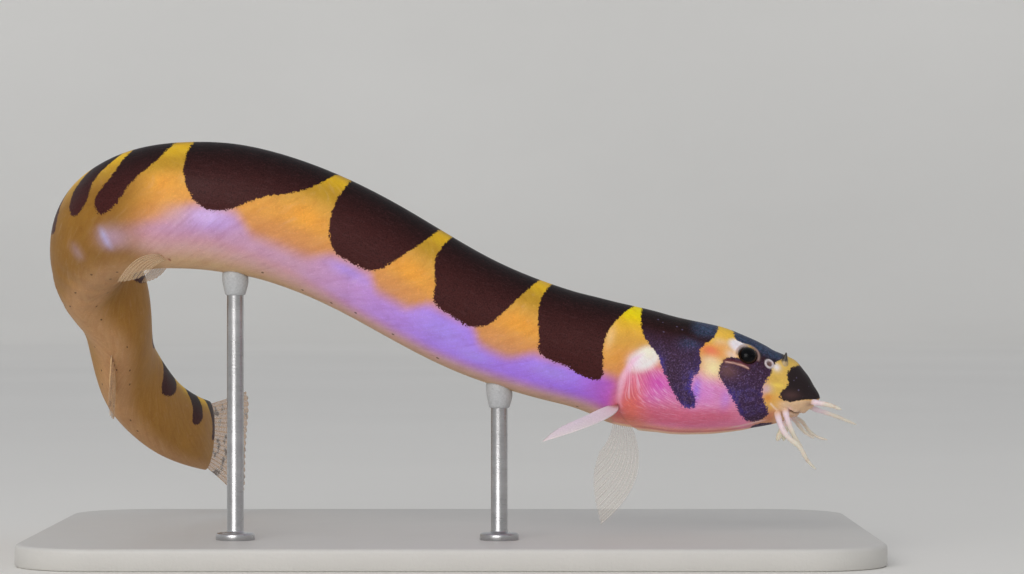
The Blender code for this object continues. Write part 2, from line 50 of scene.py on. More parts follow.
AXIS = [
    (26.50, -13.00, 11.80), (25.05, -13.00, 12.25), (23.45, -13.00, 12.50),
    (21.15, -13.00, 12.80), (18.45, -13.00, 13.20), (13.05, -13.00, 14.10),
    (7.25, -13.00, 15.65), (1.55, -13.00, 17.75), (-6.35, -13.00, 22.05),
    (-12.45, -13.00, 24.65), (-15.90, -13.00, 25.50), (-18.70, -13.00, 25.75),
    (-21.70, -12.60, 25.57), (-24.30, -11.15, 24.78), (-26.25, -8.60, 23.38),
    (-26.75, -5.70, 21.35), (-25.65, -2.90, 18.80), (-25.30, -0.35, 16.00),
    (-24.90, 2.00, 13.30), (-23.70, 4.30, 11.10), (-22.25, 6.75, 9.50),
    (-20.80, 9.30, 8.55), (-19.85, 12.05, 8.05),
]
# Distance from the snout, height above the axis, depth below it, half width
SECTIONS = [
    (0.00, 0.00, 0.00, 0.00), (0.15, 0.22, 0.48, 0.36), (0.36, 0.42, 0.86, 0.65),
    (0.75, 0.75, 1.22, 1.00), (1.15, 1.17, 1.49, 1.28), (1.50, 1.50, 1.77, 1.47),
    (2.25, 2.19, 2.20, 1.80), (3.00, 2.47, 2.52, 2.05), (3.75, 2.68, 2.78, 2.27),
    (4.45, 2.97, 3.00, 2.45), (5.50, 3.31, 3.38, 2.63), (8.05, 3.86, 4.02, 2.95),
    (10.80, 4.02, 4.36, 3.13), (13.55, 4.23, 4.38, 3.17), (14.60, 4.24, 4.32, 3.17),
    (15.90, 4.22, 4.02, 3.16), (17.30, 4.20, 3.90, 3.15), (19.50, 4.12, 4.00, 3.13),
    (25.60, 4.23, 4.20, 3.13), (34.60, 4.42, 4.34, 3.20), (41.30, 4.56, 4.50, 3.28),
    (44.80, 4.60, 4.68, 3.32), (48.60, 4.46, 4.62, 3.30), (54.00, 4.15, 4.22, 3.20),
    (64.80, 3.65, 3.65, 2.65), (75.60, 3.10, 3.10, 1.85), (81.40, 2.81, 2.81, 1.20),
    (85.30, 2.74, 2.74, 0.65),
]
SKIN_END = 85.3
SKIN_AROUND = 256
AXIS_SAMPLES = 1600


def curve_through(knots, values, at):
    """Natural cubic: its second derivatives at the knots solve one linear system."""
    count = len(knots)
    step = np.diff(knots)
    system = np.eye(count)
    right = np.zeros(values.shape)
    for i in range(1, count - 1):
        system[i, i - 1:i + 2] = step[i - 1], 2 * (step[i - 1] + step[i]), step[i]
        right[i] = 6 * ((values[i + 1] - values[i]) / step[i] - (values[i] - values[i - 1]) / step[i - 1])
    bend = np.linalg.solve(system, right)
    i = np.clip(np.searchsorted(knots, at, side="right") - 1, 0, count - 2)
    h = step[i][:, None]
    b = (at - knots[i])[:, None]
    a = h - b
    return ((bend[i] * a ** 3 + bend[i + 1] * b ** 3) / (6 * h)
            + (values[i] / h - bend[i] * h / 6) * a + (values[i + 1] / h - bend[i + 1] * h / 6) * b)


def steady_curve(knots, values, at):
    """Cubic between the knots whose slopes are harmonic means, so it never overshoots."""
    knots = np.asarray(knots, float)
    values = np.asarray(values, float)
    step = np.diff(knots)
    slope = np.diff(values) / step
    tangent = np.zeros(len(values))
    same = slope[:-1] * slope[1:] > 0
    total = np.where(same, slope[:-1] + slope[1:], 1)
    tangent[1:-1] = np.where(same, 2 * slope[:-1] * slope[1:] / total, 0)
    tangent[0], tangent[-1] = slope[0], slope[-1]
    i = np.clip(np.searchsorted(knots, at, side="right") - 1, 0, len(knots) - 2)
    t = (np.asarray(at, float) - knots[i]) / step[i]
    return ((1 + 2 * t) * (1 - t) ** 2 * values[i] + t * (1 - t) ** 2 * step[i] * tangent[i]
            + t * t * (3 - 2 * t) * values[i + 1] + t * t * (t - 1) * step[i] * tangent[i + 1])


def evenly_run(points, samples):
    """A smooth curve through the points, read at even distances along it."""
    points = np.asarray(points, float)
    chord = np.r_[0, np.cumsum(np.linalg.norm(np.diff(points, axis=0), axis=1))]
    fine = curve_through(chord, points, np.linspace(0, chord[-1], 4 * samples))
    arc = np.r_[0, np.cumsum(np.linalg.norm(np.diff(fine, axis=0), axis=1))]
    at = np.linspace(0, arc[-1], samples)
    return at, np.stack([np.interp(at, arc, fine[:, k]) for k in range(3)], -1)


AXIS_ALONG, AXIS_CENTRE = evenly_run(AXIS, AXIS_SAMPLES)
AXIS_TAIL = np.gradient(AXIS_CENTRE, AXIS_ALONG, axis=0)
AXIS_TAIL /= np.linalg.norm(AXIS_TAIL, axis=1, keepdims=True)
AXIS_BACK = np.array([0, 0, 1.0]) - AXIS_TAIL * AXIS_TAIL[:, 2:3]
AXIS_BACK /= np.linalg.norm(AXIS_BACK, axis=1, keepdims=True)
AXIS_LEFT = np.cross(AXIS_TAIL, AXIS_BACK)


def axis_at(along):
    """Centre, tailward, dorsal and leftward directions of the axis at a distance from the snout."""
    return [np.stack([np.interp(along, AXIS_ALONG, a[:, k]) for k in range(3)], -1)
            for a in (AXIS_CENTRE, AXIS_TAIL, AXIS_BACK, AXIS_LEFT)]


def flesh(along, angle):
    """Plain body: centre + back * cos * height (or depth) + left * sin * width, and its outward side."""
    along, angle = np.broadcast_arrays(np.asarray(along, float), np.asarray(angle, float))
    centre, _, back, left = axis_at(along)
    table = np.array(SECTIONS).T
    height, depth, width = (steady_curve(table[0], table[k], along) for k in (1, 2, 3))
    c = np.cos(np.radians(angle))
    s = np.sin(np.radians(angle))
    rise = np.where(c > 0, height, depth)
    out = back * (c * width)[..., None] + left * (s * rise)[..., None]
    size = np.linalg.norm(out, axis=-1, keepdims=True)
    out = np.where(size > 1e-9, out / np.maximum(size, 1e-9), back)
    return centre + back * (c * rise)[..., None] + left * (s * width)[..., None], out


def ease(low, high, value):
    """Smooth step from 0 at low to 1 at high."""
    t = np.clip((value - low) / (high - low), 0, 1)
    return t * t * (3 - 2 * t)


def hump(value, width):
    """exp(-(value / width) squared): 1 at 0 and 0.02 at twice the width."""
    return np.exp(-(value / width) ** 2)


def distance_to_line(points, line):
    """Shortest distance from each point to a line of short straight runs."""
    nearest = np.full(points.shape[:-1], np.inf)
    for start, end in zip(line[:-1], line[1:]):
        run = end - start
        t = np.clip(((points - start) @ run) / (run @ run), 0, 1)
        nearest = np.minimum(nearest, np.linalg.norm(points - start - t[..., None] * run, axis=-1))
    return nearest


# The head's fine forms, raised or sunk in the skin: lips round a crescent mouth, the fold over
# them, rear nostrils with a low rim, eye sockets with a soft lid ring, the slit below each eye,
# the free edge of the gill cover, and the creases where the tail stalk bends down.
MOUTH_FRONT = 1.00
MOUTH_SWEEP = 1.25
MOUTH_HALF_ANGLE = 50.0
LIP_OFF = 0.27
LIP_FOLDS = 44
GILL_EDGE = [(58, 11.9), (66, 12.6), (86, 14.0), (110, 14.4), (126, 14.3), (150, 13.6), (172, 12.6)]
EYE_ALONG = 5.75
EYE_ANGLE = 51.0
EYE_TURN = 0.35
EYE_RADIUS = 0.72
EYE_SINK = 0.40
EYE_DISC = 0.66
LID_OFF = 0.16
# Millimetres of skin to a degree at the eye
EYE_DEGREE = 0.059
RIM_ALONG = 4.10
RIM_ANGLE = 53.0
RIM_RADIUS = 0.29
SLIT = [(7.3, 68), (6.7, 66.8), (6.15, 67.2), (5.6, 69)]
# Seat of each breast fin by its side of the fish: distance from the snout, angle, fin length
BREAST_SEATS = {-1: (14.6, 136.0, 8.0), 1: (14.2, 141.0, 8.5)}
# Millimetres of skin to a degree there
SEAT_DEGREE = 0.073
CREASES = [(56.6, 0.5), (58.3, 1.0), (60.1, 0.8), (62.0, 0.45)]


def mouth_line(angle):
    """Distance of the mouth from the snout: a parabola of the angle from the belly."""
    return MOUTH_FRONT + MOUTH_SWEEP * ((180 - np.abs(angle)) / MOUTH_HALF_ANGLE) ** 2


def gill_line(angle):
    """Distance of the gill cover's edge from the snout, and how much of an edge is there."""
    angles, places = zip(*GILL_EDGE)
    edge = steady_curve(angles, places, np.clip(np.abs(angle), angles[0], angles[-1]))
    return edge, ease(66, 80, np.abs(angle))


def eye_seat(turn):
    """Where an eye sits on the skin and the way it looks, turned a little from the skin's outward."""
    centre, out = flesh(EYE_ALONG, turn * EYE_ANGLE)
    look = out + EYE_TURN * np.array([0, turn, 0])
    return centre, look / np.linalg.norm(look)


def from_eye(points, turn):
    """How far points lie from the line through an eye's seat along its look, and from the seat."""
    centre, look = eye_seat(turn)
    away = points - centre
    rise = away @ look
    return np.linalg.norm(away - rise[..., None] * look, axis=-1), np.linalg.norm(away, axis=-1)


def slit_line(turn):
    """The slit below an eye, as places on the plain body."""
    along, angle = np.array(SLIT).T
    return flesh(along, turn * angle)[0]


def relief(along, angle, points):
    """Height of the fine forms over the plain body, as a sum of humps and steps."""
    down = np.abs(angle)
    fade = 1 / (1 + np.exp((180 - down - MOUTH_HALF_ANGLE) / 4))
    off = along - mouth_line(angle)
    lips = 0.15 * hump(off + LIP_OFF, 0.16) + 0.15 * hump(off - LIP_OFF, 0.16)
    folds = np.sin(np.radians(angle) * LIP_FOLDS)
    height = fade * (lips - 0.30 * hump(off, 0.10))
    height += 0.03 * fade * (hump(off + LIP_OFF, 0.2) + hump(off - LIP_OFF, 0.2)) * folds
    fold = along - 2.75 + 0.00012 * (down - 104) ** 2
    height -= 0.06 * hump(down - 108, 5) * ease(3.3, 2.4, along) * ease(0.2, 0.7, along)
    height += 0.03 * hump(fold, 0.3) * ease(60, 95, down) * ease(140, 118, down)
    edge, there = gill_line(angle)
    off = along - edge
    height += there * (0.08 * ease(-1.6, -0.15, off) * ease(0.08, -0.08, off)
                       - 0.07 * hump(off - 0.13, 0.13) - 0.03 * hump(off - 0.5, 0.4))
    for turn, (place, seat, _) in BREAST_SEATS.items():
        height += 0.14 * hump(np.hypot(along - place, (turn * angle - seat) * SEAT_DEGREE), 0.75)
    for place, depth in CREASES:
        bow = place + 0.00016 * (down - 150) ** 2
        height -= 0.075 * depth * hump(along - bow, 0.22) * ease(88, 125, down)
        height += 0.03 * depth * hump(along - bow - 0.6, 0.4) * ease(88, 125, down)
    for turn in (-1, 1):
        off, away = from_eye(points, turn)
        near = ease(1.6, 1.2, away)
        height += near * (-0.50 * ease(EYE_DISC + 0.07, EYE_DISC - 0.12, off)
                          + 0.085 * hump(off - EYE_DISC - LID_OFF, 0.11)
                          - 0.035 * hump(off - EYE_DISC - 0.42, 0.12))
        off = np.linalg.norm(points - flesh(RIM_ALONG, turn * RIM_ANGLE)[0], axis=-1)
        height += 0.10 * hump(off - RIM_RADIUS, 0.075) - 0.22 * ease(0.22, 0.10, off)
        off = distance_to_line(points, slit_line(turn))
        height += 0.05 * hump(off, 0.06) - 0.05 * hump(off - 0.13, 0.06)
    return height


def skin(along, angle):
    """Points of the finished skin, the plain body raised by its relief, and the outward directions."""
    along, angle = np.broadcast_arrays(np.asarray(along, float), np.asarray(angle, float))
    points, outward = flesh(along, angle)
    return points + outward * relief(along, angle, points)[..., None], outward


def stations_along():
    """Rings stand close together on the head and wider apart down the body."""
    head = np.r_[0.03, 0.08, 0.15, np.arange(0.22, 8.0, 0.075)]
    shoulder = np.arange(8.0, 16.0, 0.13)
    body = np.linspace(16.0, SKIN_END, 192)
    return np.r_[head, shoulder, body]


def mesh_of(name, points, faces):
    """A smooth mesh object at the origin from points in millimetres and an array of faces."""
    mesh = bpy.data.meshes.new(name)
    mesh.from_pydata(np.asarray(points, float) * MM, [], faces)
    mesh.shade_smooth()
    mesh.validate()
    piece = bpy.data.objects.new(name, mesh)
    bpy.context.scene.collection.objects.link(piece)
    return piece


def tube_triangles(rings, around):
    """Ring and column of each corner of a tube's triangles; column `around` is column 0 again."""
    i, j = np.meshgrid(np.arange(rings - 1), np.arange(around), indexing="ij")
    i, j = i.ravel(), j.ravel()
    first = np.stack([i, j, i + 1, j + 1, i, j + 1], -1)
    second = np.stack([i, j, i + 1, j, i + 1, j + 1], -1)
    return np.concatenate([first, second]).reshape(-1, 3, 2)


def closed_tube(name, rings, first, last):
    """A tube of rings (rings, around, xyz), closed by fans of triangles on its two end points."""
    count, around = rings.shape[:2]
    corners = tube_triangles(count, around)
    faces = corners[..., 0] * around + corners[..., 1] % around
    j = np.arange(around)
    k = (j + 1) % around
    ends = np.full(around, count * around)
    start = np.stack([ends, j, k], -1)
    stop = np.stack([ends + 1, (count - 1) * around + k, (count - 1) * around + j], -1)
    points = np.concatenate([rings.reshape(-1, 3), [first, last]])
    return mesh_of(name, points, np.concatenate([faces, start, stop])), corners


def give(piece, name, values):
    """Stores one number for each point of a piece under a name that its material reads."""
    piece.data.attributes.new(name, "FLOAT", "POINT").data.foreach_set("value", np.ravel(values))


def give_colour(piece, name, values):
    """Stores one colour for each point of a piece."""
    rgba = np.concatenate([values, np.ones(values.shape[:-1] + (1,))], -1)
    made = piece.data.color_attributes.new(name, "FLOAT_COLOR", "POINT")
    made.data.foreach_set("color", rgba.astype(np.float32).ravel())


rings_at = stations_along()
turns_at = np.arange(SKIN_AROUND) * 360 / SKIN_AROUND
turns_at = np.where(turns_at > 180, turns_at - 360, turns_at)
skin_along, skin_angle = np.meshgrid(rings_at, turns_at, indexing="ij")
skin_points, _ = skin(skin_along, skin_angle)
tail_tip = axis_at(SKIN_END)[0] + 0.05 * axis_at(SKIN_END)[1]
body_skin, skin_corners = closed_tube("body_skin", skin_points, axis_at(0.0)[0], tail_tip)


# The skin's bake map: four blocks of the length, the head's the widest spread, each unrolled
# from belly to belly.
BLOCKS = [(0.0, 10.0), (10.0, 26.0), (26.0, 55.0), (55.0, SKIN_END)]
MAP_EDGE = 0.01
MAP_SPAN = 0.48
block_of_ring = np.clip(np.searchsorted([b[1] for b in BLOCKS], rings_at[:-1], side="right"), 0, 3)
corner_ring = skin_corners[..., 0]
corner_block = block_of_ring[corner_ring.min(axis=1)][:, None]
low = np.array([b[0] for b in BLOCKS])[corner_block]
high = np.array([b[1] for b in BLOCKS])[corner_block]
share_along = np.clip((rings_at[corner_ring] - low) / (high - low), 0, 1)
share_round = skin_corners[..., 1] / SKIN_AROUND
map_u = 0.5 * (corner_block % 2) + MAP_EDGE + MAP_SPAN * share_along
map_v = 0.5 * (corner_block // 2) + MAP_EDGE + MAP_SPAN * share_round
cap_faces = 2 * SKIN_AROUND
cap_uv = np.tile([[0.005, 0.005], [0.006, 0.005], [0.005, 0.006]], (cap_faces, 1))
bake_map = body_skin.data.uv_layers.new(name="OFBake")
all_uv = np.concatenate([np.stack([map_u, map_v], -1).reshape(-1, 2), cap_uv])
bake_map.data.foreach_set("uv", all_uv.astype(np.float32).ravel())


# The fish's dress: near-black saddles from the back down to mid flank, three bands on the head,
# gold to orange between them, a violet stripe below, a pale belly and a rosy throat. Each dark
# mark is an outline given as distance from the snout and angle down from the back.
DEGREE = 0.072
MARKS = {
    "snout": [(-1.5, -40), (1.9, -40), (2.0, 0), (2.1, 30), (2.75, 64), (2.65, 82), (3.1, 99), (2.7, 110),
              (1.2, 108), (0.5, 104), (-1.5, 97)],
    "eye_band": [(3.2, -40), (7.0, -40), (7.0, 0), (6.9, 22), (6.6, 33), (5.8, 33), (5.35, 38), (5.2, 46),
                 (5.3, 55), (5.6, 59), (6.0, 60), (6.5, 59.5), (7.05, 61), (7.5, 68), (7.7, 80), (7.0, 97),
                 (6.1, 116), (5.6, 132), (4.6, 146), (3.9, 141), (3.75, 126), (4.4, 96), (4.3, 84), (3.9, 66),
                 (3.85, 57), (3.75, 51), (3.5, 42), (3.1, 30), (3.0, 0)],
    "chin": [(3.4, 158), (4.5, 156), (4.8, 172), (4.8, 192), (3.6, 192), (3.3, 172)],
    "nape": [(8.0, -40), (14.0, -40), (14.0, 0), (13.9, 36), (13.3, 60), (12.4, 71), (11.8, 85), (10.6, 108),
             (9.4, 122), (9.0, 120), (9.5, 97), (9.0, 79), (9.2, 60), (8.6, 46), (8.1, 20), (8.0, 0)],
    "saddle_1": [(14.5, -40), (21.1, -40), (21.1, 0), (21.5, 40), (21.4, 65), (20.8, 88), (20.5, 101),
                 (18.4, 107), (17.6, 111), (15.8, 110), (15.9, 95), (16.2, 70), (15.6, 42),
                 (14.8, 16), (14.5, 0)],
    "saddle_2": [(21.95, -40), (29.85, -40), (29.85, 0), (30.1, 36), (29.9, 64), (29.2, 80), (28.7, 95),
                 (27.3, 99), (25.3, 100), (24.2, 86), (23.5, 66), (22.6, 36), (22.15, 14), (21.95, 0)],
    "saddle_3": [(30.85, -40), (37.75, -40), (37.75, 0), (38.0, 50), (37.7, 80), (36.8, 97), (34.9, 101),
                 (33.6, 99), (32.6, 82), (31.9, 62), (31.2, 36), (30.85, 0)],
    "saddle_4": [(38.55, -40), (47.7, -40), (47.7, 0), (48.0, 40), (47.7, 78), (47.0, 91), (44.6, 91),
                 (42.7, 75), (40.4, 58), (39.4, 40), (38.8, 15), (38.55, 0)],
    "saddle_5": [(48.7, -40), (51.1, -40), (51.1, 0), (51.35, 32), (52.0, 57), (53.0, 78), (52.8, 92),
                 (52.0, 89), (51.0, 71), (49.6, 46), (48.9, 20), (48.7, 0)],
    "saddle_6": [(51.65, -40), (53.9, -40), (53.9, 0), (54.5, 44), (55.1, 68), (54.7, 85), (53.9, 80),
                 (53.1, 55), (51.9, 26), (51.65, 0)],
}
TAIL_SADDLES = [(55.4, 59.0, 84, 0.3), (61.5, 65.2, 88, -0.5), (67.3, 71.2, 86, 0.4), (73.5, 76.9, 90, -0.2),
                (79.0, 81.7, 88, 0.2), (83.4, 85.9, 100, 0.0)]
for i, (start, end, foot, lean) in enumerate(TAIL_SADDLES):
    middle = (start + end) / 2 + lean
    MARKS["tail_%d" % (i + 1)] = [
        (start, -40), (end, -40), (end, 0), (end + 0.1 + 0.4 * lean, foot * 0.55),
        (middle + 0.7, foot * 0.94), (middle - 0.2, foot), (start + 0.9 + lean, foot * 0.8),
        (start + 0.2 + 0.6 * abs(lean), foot * 0.4), (start, 0)]


def depth_inside(outline, along, angle):
    """Distance to a smooth closed outline, positive inside: even-odd crossings give the side."""
    corner = np.array(outline, float) * (1, DEGREE)
    ring = np.concatenate([corner[-2:], corner, corner[:3]])
    chord = np.r_[0, np.cumsum(np.linalg.norm(np.diff(ring, axis=0), axis=1))]
    at = np.concatenate([np.linspace(chord[i], chord[i + 1], 4, endpoint=False)
                         for i in range(2, 2 + len(corner))])
    line = curve_through(chord, ring, at)
    line = np.concatenate([line, line[:1]])
    p = np.stack([along, angle * DEGREE], -1)
    inside = np.zeros(len(p), bool)
    for (ax, ay), (bx, by) in zip(line[:-1], line[1:]):
        crosses = (ay > p[:, 1]) != (by > p[:, 1])
        slope = (bx - ax) / (by - ay) if by != ay else 0.0
        inside ^= crosses & (p[:, 0] < ax + (p[:, 1] - ay) * slope)
    return np.where(inside, 1, -1) * distance_to_line(p, line)


def darkness(along, angle):
    """Greatest depth inside any dark mark, in millimetres; negative outside them all."""
    along, angle = along.ravel(), np.abs(angle).ravel()
    best = np.full(along.shape, -2.0)
    for outline in MARKS.values():
        places = [p[0] for p in outline]
        near = (along > min(places) - 2) & (along < max(places) + 2)
        best[near] = np.maximum(best[near], depth_inside(outline, along[near], angle[near]))
    return best


def paint(*rgb):
    """A colour given as on a screen, 0 to 255, as the linear values that a shader takes."""
    c = np.array(rgb) / 255
    return np.where(c <= 0.04045, c / 12.92, ((c + 0.055) / 1.055) ** 2.4)


def lay(ground, colour, share):
    """Paint laid over the ground: ground * (1 - share) + colour * share."""
    return ground * (1 - share[..., None]) + colour * share[..., None]


def between(low, high, soft, value):
    """1 from low to high, easing to 0 over soft on both sides."""
    return ease(low - soft, low + soft, value) * ease(high + soft, high - soft, value)


def spot(along, angle, place, size):
    """A soft oval patch round a place, its half sizes in millimetres and degrees."""
    return hump(np.hypot((along - place[0]) / size[0], (angle - place[1]) / size[1]), 1.0)


def dab(ground, along, angle, spots):
    """Lays soft oval patches on the ground, each a colour, its share, its place and its half sizes."""
    for rgb, share, place, size in spots:
        ground = lay(ground, paint(*rgb), share * spot(along, angle, place, size))
    return ground


# Upper limit of the violet, as distance and angle: it climbs to each saddle and dips in each gap
VIOLET_TOP = [(14.2, 104), (16.0, 104), (20.6, 104), (22.6, 117), (24.4, 114), (25.7, 98), (28.6, 98),
              (30.4, 114), (32.4, 114), (33.8, 101), (36.4, 101), (38.6, 114), (42.4, 111), (44.8, 91),
              (47.3, 91), (48.8, 101), (52.0, 108)]
VIOLET_SHADES = [(14.6, (194, 96, 196)), (17.5, (180, 130, 255)), (27.0, (186, 146, 255)),
                 (33.0, (206, 158, 232)), (39.0, (214, 170, 202)), (48.0, (210, 166, 206))]
VIOLET_HEARTS = [((19.3, 117), (1.9, 10)), ((24.6, 128), (1.1, 8)), ((27.3, 116), (2.0, 15)),
                 ((35.2, 107), (1.5, 9)), ((46.0, 103), (2.2, 11))]
GAP_GLOWS = [(22.4, 80), (31.2, 80), (39.4, 78), (49.3, 70)]


def ground_colour(along, angle):
    """The broad colours under the marks, laid one over another from back to belly, with painted shade and
    painted highlights where the body bends down.
    """
    angle = np.abs(angle)
    ground = np.zeros(along.shape + (3,)) + paint(238, 192, 40)
    ground = lay(ground, paint(255, 232, 16), between(13.6, 15.4, 0.5, along) * ease(58, 24, angle))
    ground = lay(ground, paint(190, 146, 54), 0.8 * ease(26, 48, angle) * ease(15, 22, along))
    ground = lay(ground, paint(190, 150, 34), 0.7 * ease(22, 8, angle) * ease(24, 28, along))
    ground = lay(ground, paint(246, 192, 72), ease(34, 60, angle) * ease(22, 15, along))
    ground = lay(ground, paint(228, 172, 78), ease(50, 68, angle))
    ground = lay(ground, paint(238, 170, 80), ease(66, 82, angle))
    for place in GAP_GLOWS:
        ground = lay(ground, paint(255, 176, 66), 0.7 * spot(along, angle, place, (1.2, 11)))
    ground = lay(ground, paint(228, 160, 94), ease(84, 100, angle))
    ground = lay(ground, paint(218, 154, 116), ease(98, 114, angle))
    ground = lay(ground, paint(255, 214, 146), 0.7 * spot(along, angle, (15.9, 66), (0.35, 14)))
    top = steady_curve(*zip(*VIOLET_TOP), np.clip(along, VIOLET_TOP[0][0], VIOLET_TOP[-1][0]))
    foot = np.interp(along, [16, 22, 34, 37, 41, 46, 52], [147, 147, 152, 147, 139, 129, 127])
    strength = np.interp(along, [13.5, 15, 32, 38, 49, 52, 54], [0, 1, 1, 0.9, 0.8, 0.45, 0])
    ground = lay(ground, paint(216, 174, 166), ease(foot - 14, foot + 4, angle))
    ground = lay(ground, paint(214, 178, 138), ease(foot + 2, foot + 26, angle))
    shade = np.array([paint(*rgb) for _, rgb in VIOLET_SHADES])
    violet = np.stack([np.interp(along, [p[0] for p in VIOLET_SHADES], shade[:, k]) for k in range(3)], -1)
    for place, size in VIOLET_HEARTS:
        violet = lay(violet, paint(184, 158, 255), 0.75 * spot(along, angle, place, size))
    ground = lay(ground, violet, ease(top - 8, top + 10, angle) * ease(foot + 9, foot - 15, angle) * strength)
    ground = lay(ground, paint(230, 200, 255), 0.9 * spot(along, angle, (46.3, 100), (1.3, 8)))
    ground = lay(ground, paint(222, 180, 190), 0.6 * spot(along, angle, (48.4, 100), (0.9, 9)))
    # Painted shade: from along 49 to 52 the flank darkens to a dull ochre where the body bends down and away,
    # pinker towards the belly. From along 58 a brighter tan is laid over it again.
    start = np.interp(angle, [80, 112], [48.9, 49.8])
    shaded_bend = ease(start, start + 2.8, along) * ease(40, 70, angle)
    ground = lay(ground, paint(150, 108, 42), 0.95 * shaded_bend)
    ground = lay(ground, paint(182, 134, 66), 0.8 * ease(58, 66, along) * ease(30, 70, angle))
    ground = lay(ground, paint(204, 160, 118), 0.75 * shaded_bend * ease(128, 165, angle))
    # Painted highlights: a pale lavender patch and two pale bluish streaks on the lower flank, on the inner
    # side of the bend.
    bow = along - 0.00022 * (angle - 112) ** 2
    ground = lay(ground, paint(204, 172, 198), 0.7 * spot(along, angle, (52.5, 117), (0.95, 12)))
    ground = lay(ground, paint(200, 200, 252), 0.65 * hump(bow - 53.0, 0.26) * between(106, 126, 8, angle))
    return lay(ground, paint(184, 160, 176), 0.45 * hump(bow - 55.6, 0.40) * between(110, 128, 8, angle))


CHEEK_SPOTS = [
    ((228, 118, 222), 0.55, (12.5, 115), (0.8, 9)), ((226, 132, 166), 0.8, (6.9, 144), (1.3, 8)),
    ((244, 126, 108), 0.9, (13.4, 126), (1.05, 30)), ((150, 116, 240), 0.8, (9.1, 103), (0.32, 13)),
    ((184, 126, 232), 0.6, (6.9, 108), (0.4, 12)), ((216, 124, 92), 0.8, (13.3, 152), (1.4, 14)),
]
FACE_SPOTS = [
    ((255, 252, 224), 0.8, (12.9, 73), (0.55, 6)), ((255, 234, 252), 0.7, (13.8, 85), (0.5, 8)),
    ((255, 206, 84), 1.0, (7.7, 32), (1.0, 22)), ((255, 240, 214), 0.6, (7.7, 46), (0.6, 7)),
    ((250, 128, 98), 0.95, (8.4, 58), (0.9, 8)), ((255, 216, 186), 0.8, (8.4, 70), (0.6, 5)),
    ((255, 236, 180), 1.0, (8.1, 78), (0.9, 11)), ((252, 182, 96), 0.75, (7.65, 50), (0.55, 9)),
    ((255, 232, 226), 0.7, (6.9, 57), (0.45, 6)),
]
SNOUT_SPOTS = [((255, 224, 104), 0.9, (3.4, 84), (0.6, 3.5)), ((222, 190, 200), 0.9, (4.15, 92), (0.42, 8))]
# The first lip spot is painted shade on the front of the upper lip, under the roots of the front feelers.
LIP_SPOTS = [((142, 104, 98), 0.6, (0.55, 126), (0.42, 11)), ((92, 52, 40), 0.8, (1.37, 146), (0.16, 4))]


def head_colour(ground, along, angle):
    """The head's own colours, laid over the ground: gold, cream, rose, magenta and pale edges."""
    angle = np.abs(angle)
    head = ease(14.4, 14.0, along)
    ground = lay(ground, paint(236, 148, 186), head * ease(78, 104, angle))
    ground = lay(ground, paint(224, 98, 200), head * spot(along, angle, (11.9, 101), (1.4, 15)))
    ground = lay(ground, paint(232, 150, 226), 0.95 * head * spot(along, angle, (8.5, 101), (1.5, 20)))
    ground = lay(ground, paint(220, 112, 142), head * between(122, 148, 9, angle) * ease(4.5, 7, along))
    ground = dab(ground, along, angle, CHEEK_SPOTS)
    ground = lay(ground, paint(240, 162, 138), 0.8 * head * ease(146, 157, angle) * ease(4.5, 6.5, along))
    ground = lay(ground, paint(158, 58, 60), 0.35 * hump(angle - 160, 2.2) * between(5.2, 12.6, 0.8, along))
    ground = lay(ground, paint(255, 216, 178), head * ease(161, 168, angle))
    shoulder = np.hypot((along - 13.05 - 0.035 * (angle - 80)) / 0.9, (angle - 80) / 12)
    ground = lay(ground, paint(255, 252, 250), ease(1.5, 0.6, shoulder))
    ground = dab(ground, along, angle, FACE_SPOTS)
    above_eye = np.hypot((along - 6.5) / 0.62, (angle - 41) / 9)
    ground = lay(ground, paint(255, 250, 255), ease(1.6, 0.7, above_eye))
    ground = lay(ground, paint(234, 196, 100), ease(4.7, 3.8, along))
    ground = dab(ground, along, angle, SNOUT_SPOTS)
    ground = lay(ground, paint(240, 186, 100), ease(4.6, 3.8, along) * ease(94, 104, angle))
    ground = lay(ground, paint(232, 150, 74), 0.8 * spot(along, angle, (3.9, 105), (0.3, 6)))
    ground = lay(ground, paint(214, 152, 128), 0.8 * ease(118, 134, angle) * ease(5.4, 4.4, along))
    ground = lay(ground, paint(206, 134, 104), 0.8 * spot(along, angle, (3.5, 140), (0.7, 12)))
    pale_line = hump(angle - 147 - 3.1 * (along - 4.0), 2.0) * between(3.9, 6.2, 0.4, along)
    ground = lay(ground, paint(240, 204, 202), 0.8 * pale_line)
    ground = lay(ground, paint(248, 244, 246), spot(along, angle, (3.55, 54), (0.3, 7)))
    ground = lay(ground, paint(240, 204, 164), ease(3.6, 2.6, along) * ease(104, 114, angle))
    edge, there = gill_line(angle)
    pale = there * ease(70, 84, angle) * ease(150, 96, angle)
    broad = np.interp(angle, [80, 100, 120], [0.05, 0.20, 0.08])
    return lay(ground, paint(250, 198, 226), 0.85 * pale * between(-0.25, broad, 0.20, along - edge))


def lips_colour(ground, along, angle, points):
    """The lips, the dark of the mouth, painted shade on the front of the upper lip and the pale fold beside
    its corner.
    """
    for turn in (-1, 1):
        fold = flesh(np.array([3.65, 3.35, 3.0]), turn * np.array([114.0, 121, 129]))[0]
        ground = lay(ground, paint(255, 226, 196), 0.9 * hump(distance_to_line(points, fold), 0.075))
    ground = lay(ground, paint(246, 200, 214), 0.85 * spot(along, np.abs(angle), (2.35, 130), (0.30, 7)))
    off = np.abs(along - mouth_line(angle))
    fade = ease(MOUTH_HALF_ANGLE + 4, MOUTH_HALF_ANGLE - 8, 180 - np.abs(angle))
    ground = lay(ground, paint(226, 192, 168), fade * hump(off - LIP_OFF, 0.15))
    ground = dab(ground, along, np.abs(angle), LIP_SPOTS)
    return lay(ground, paint(96, 44, 40), fade * ease(0.14, 0.06, off))


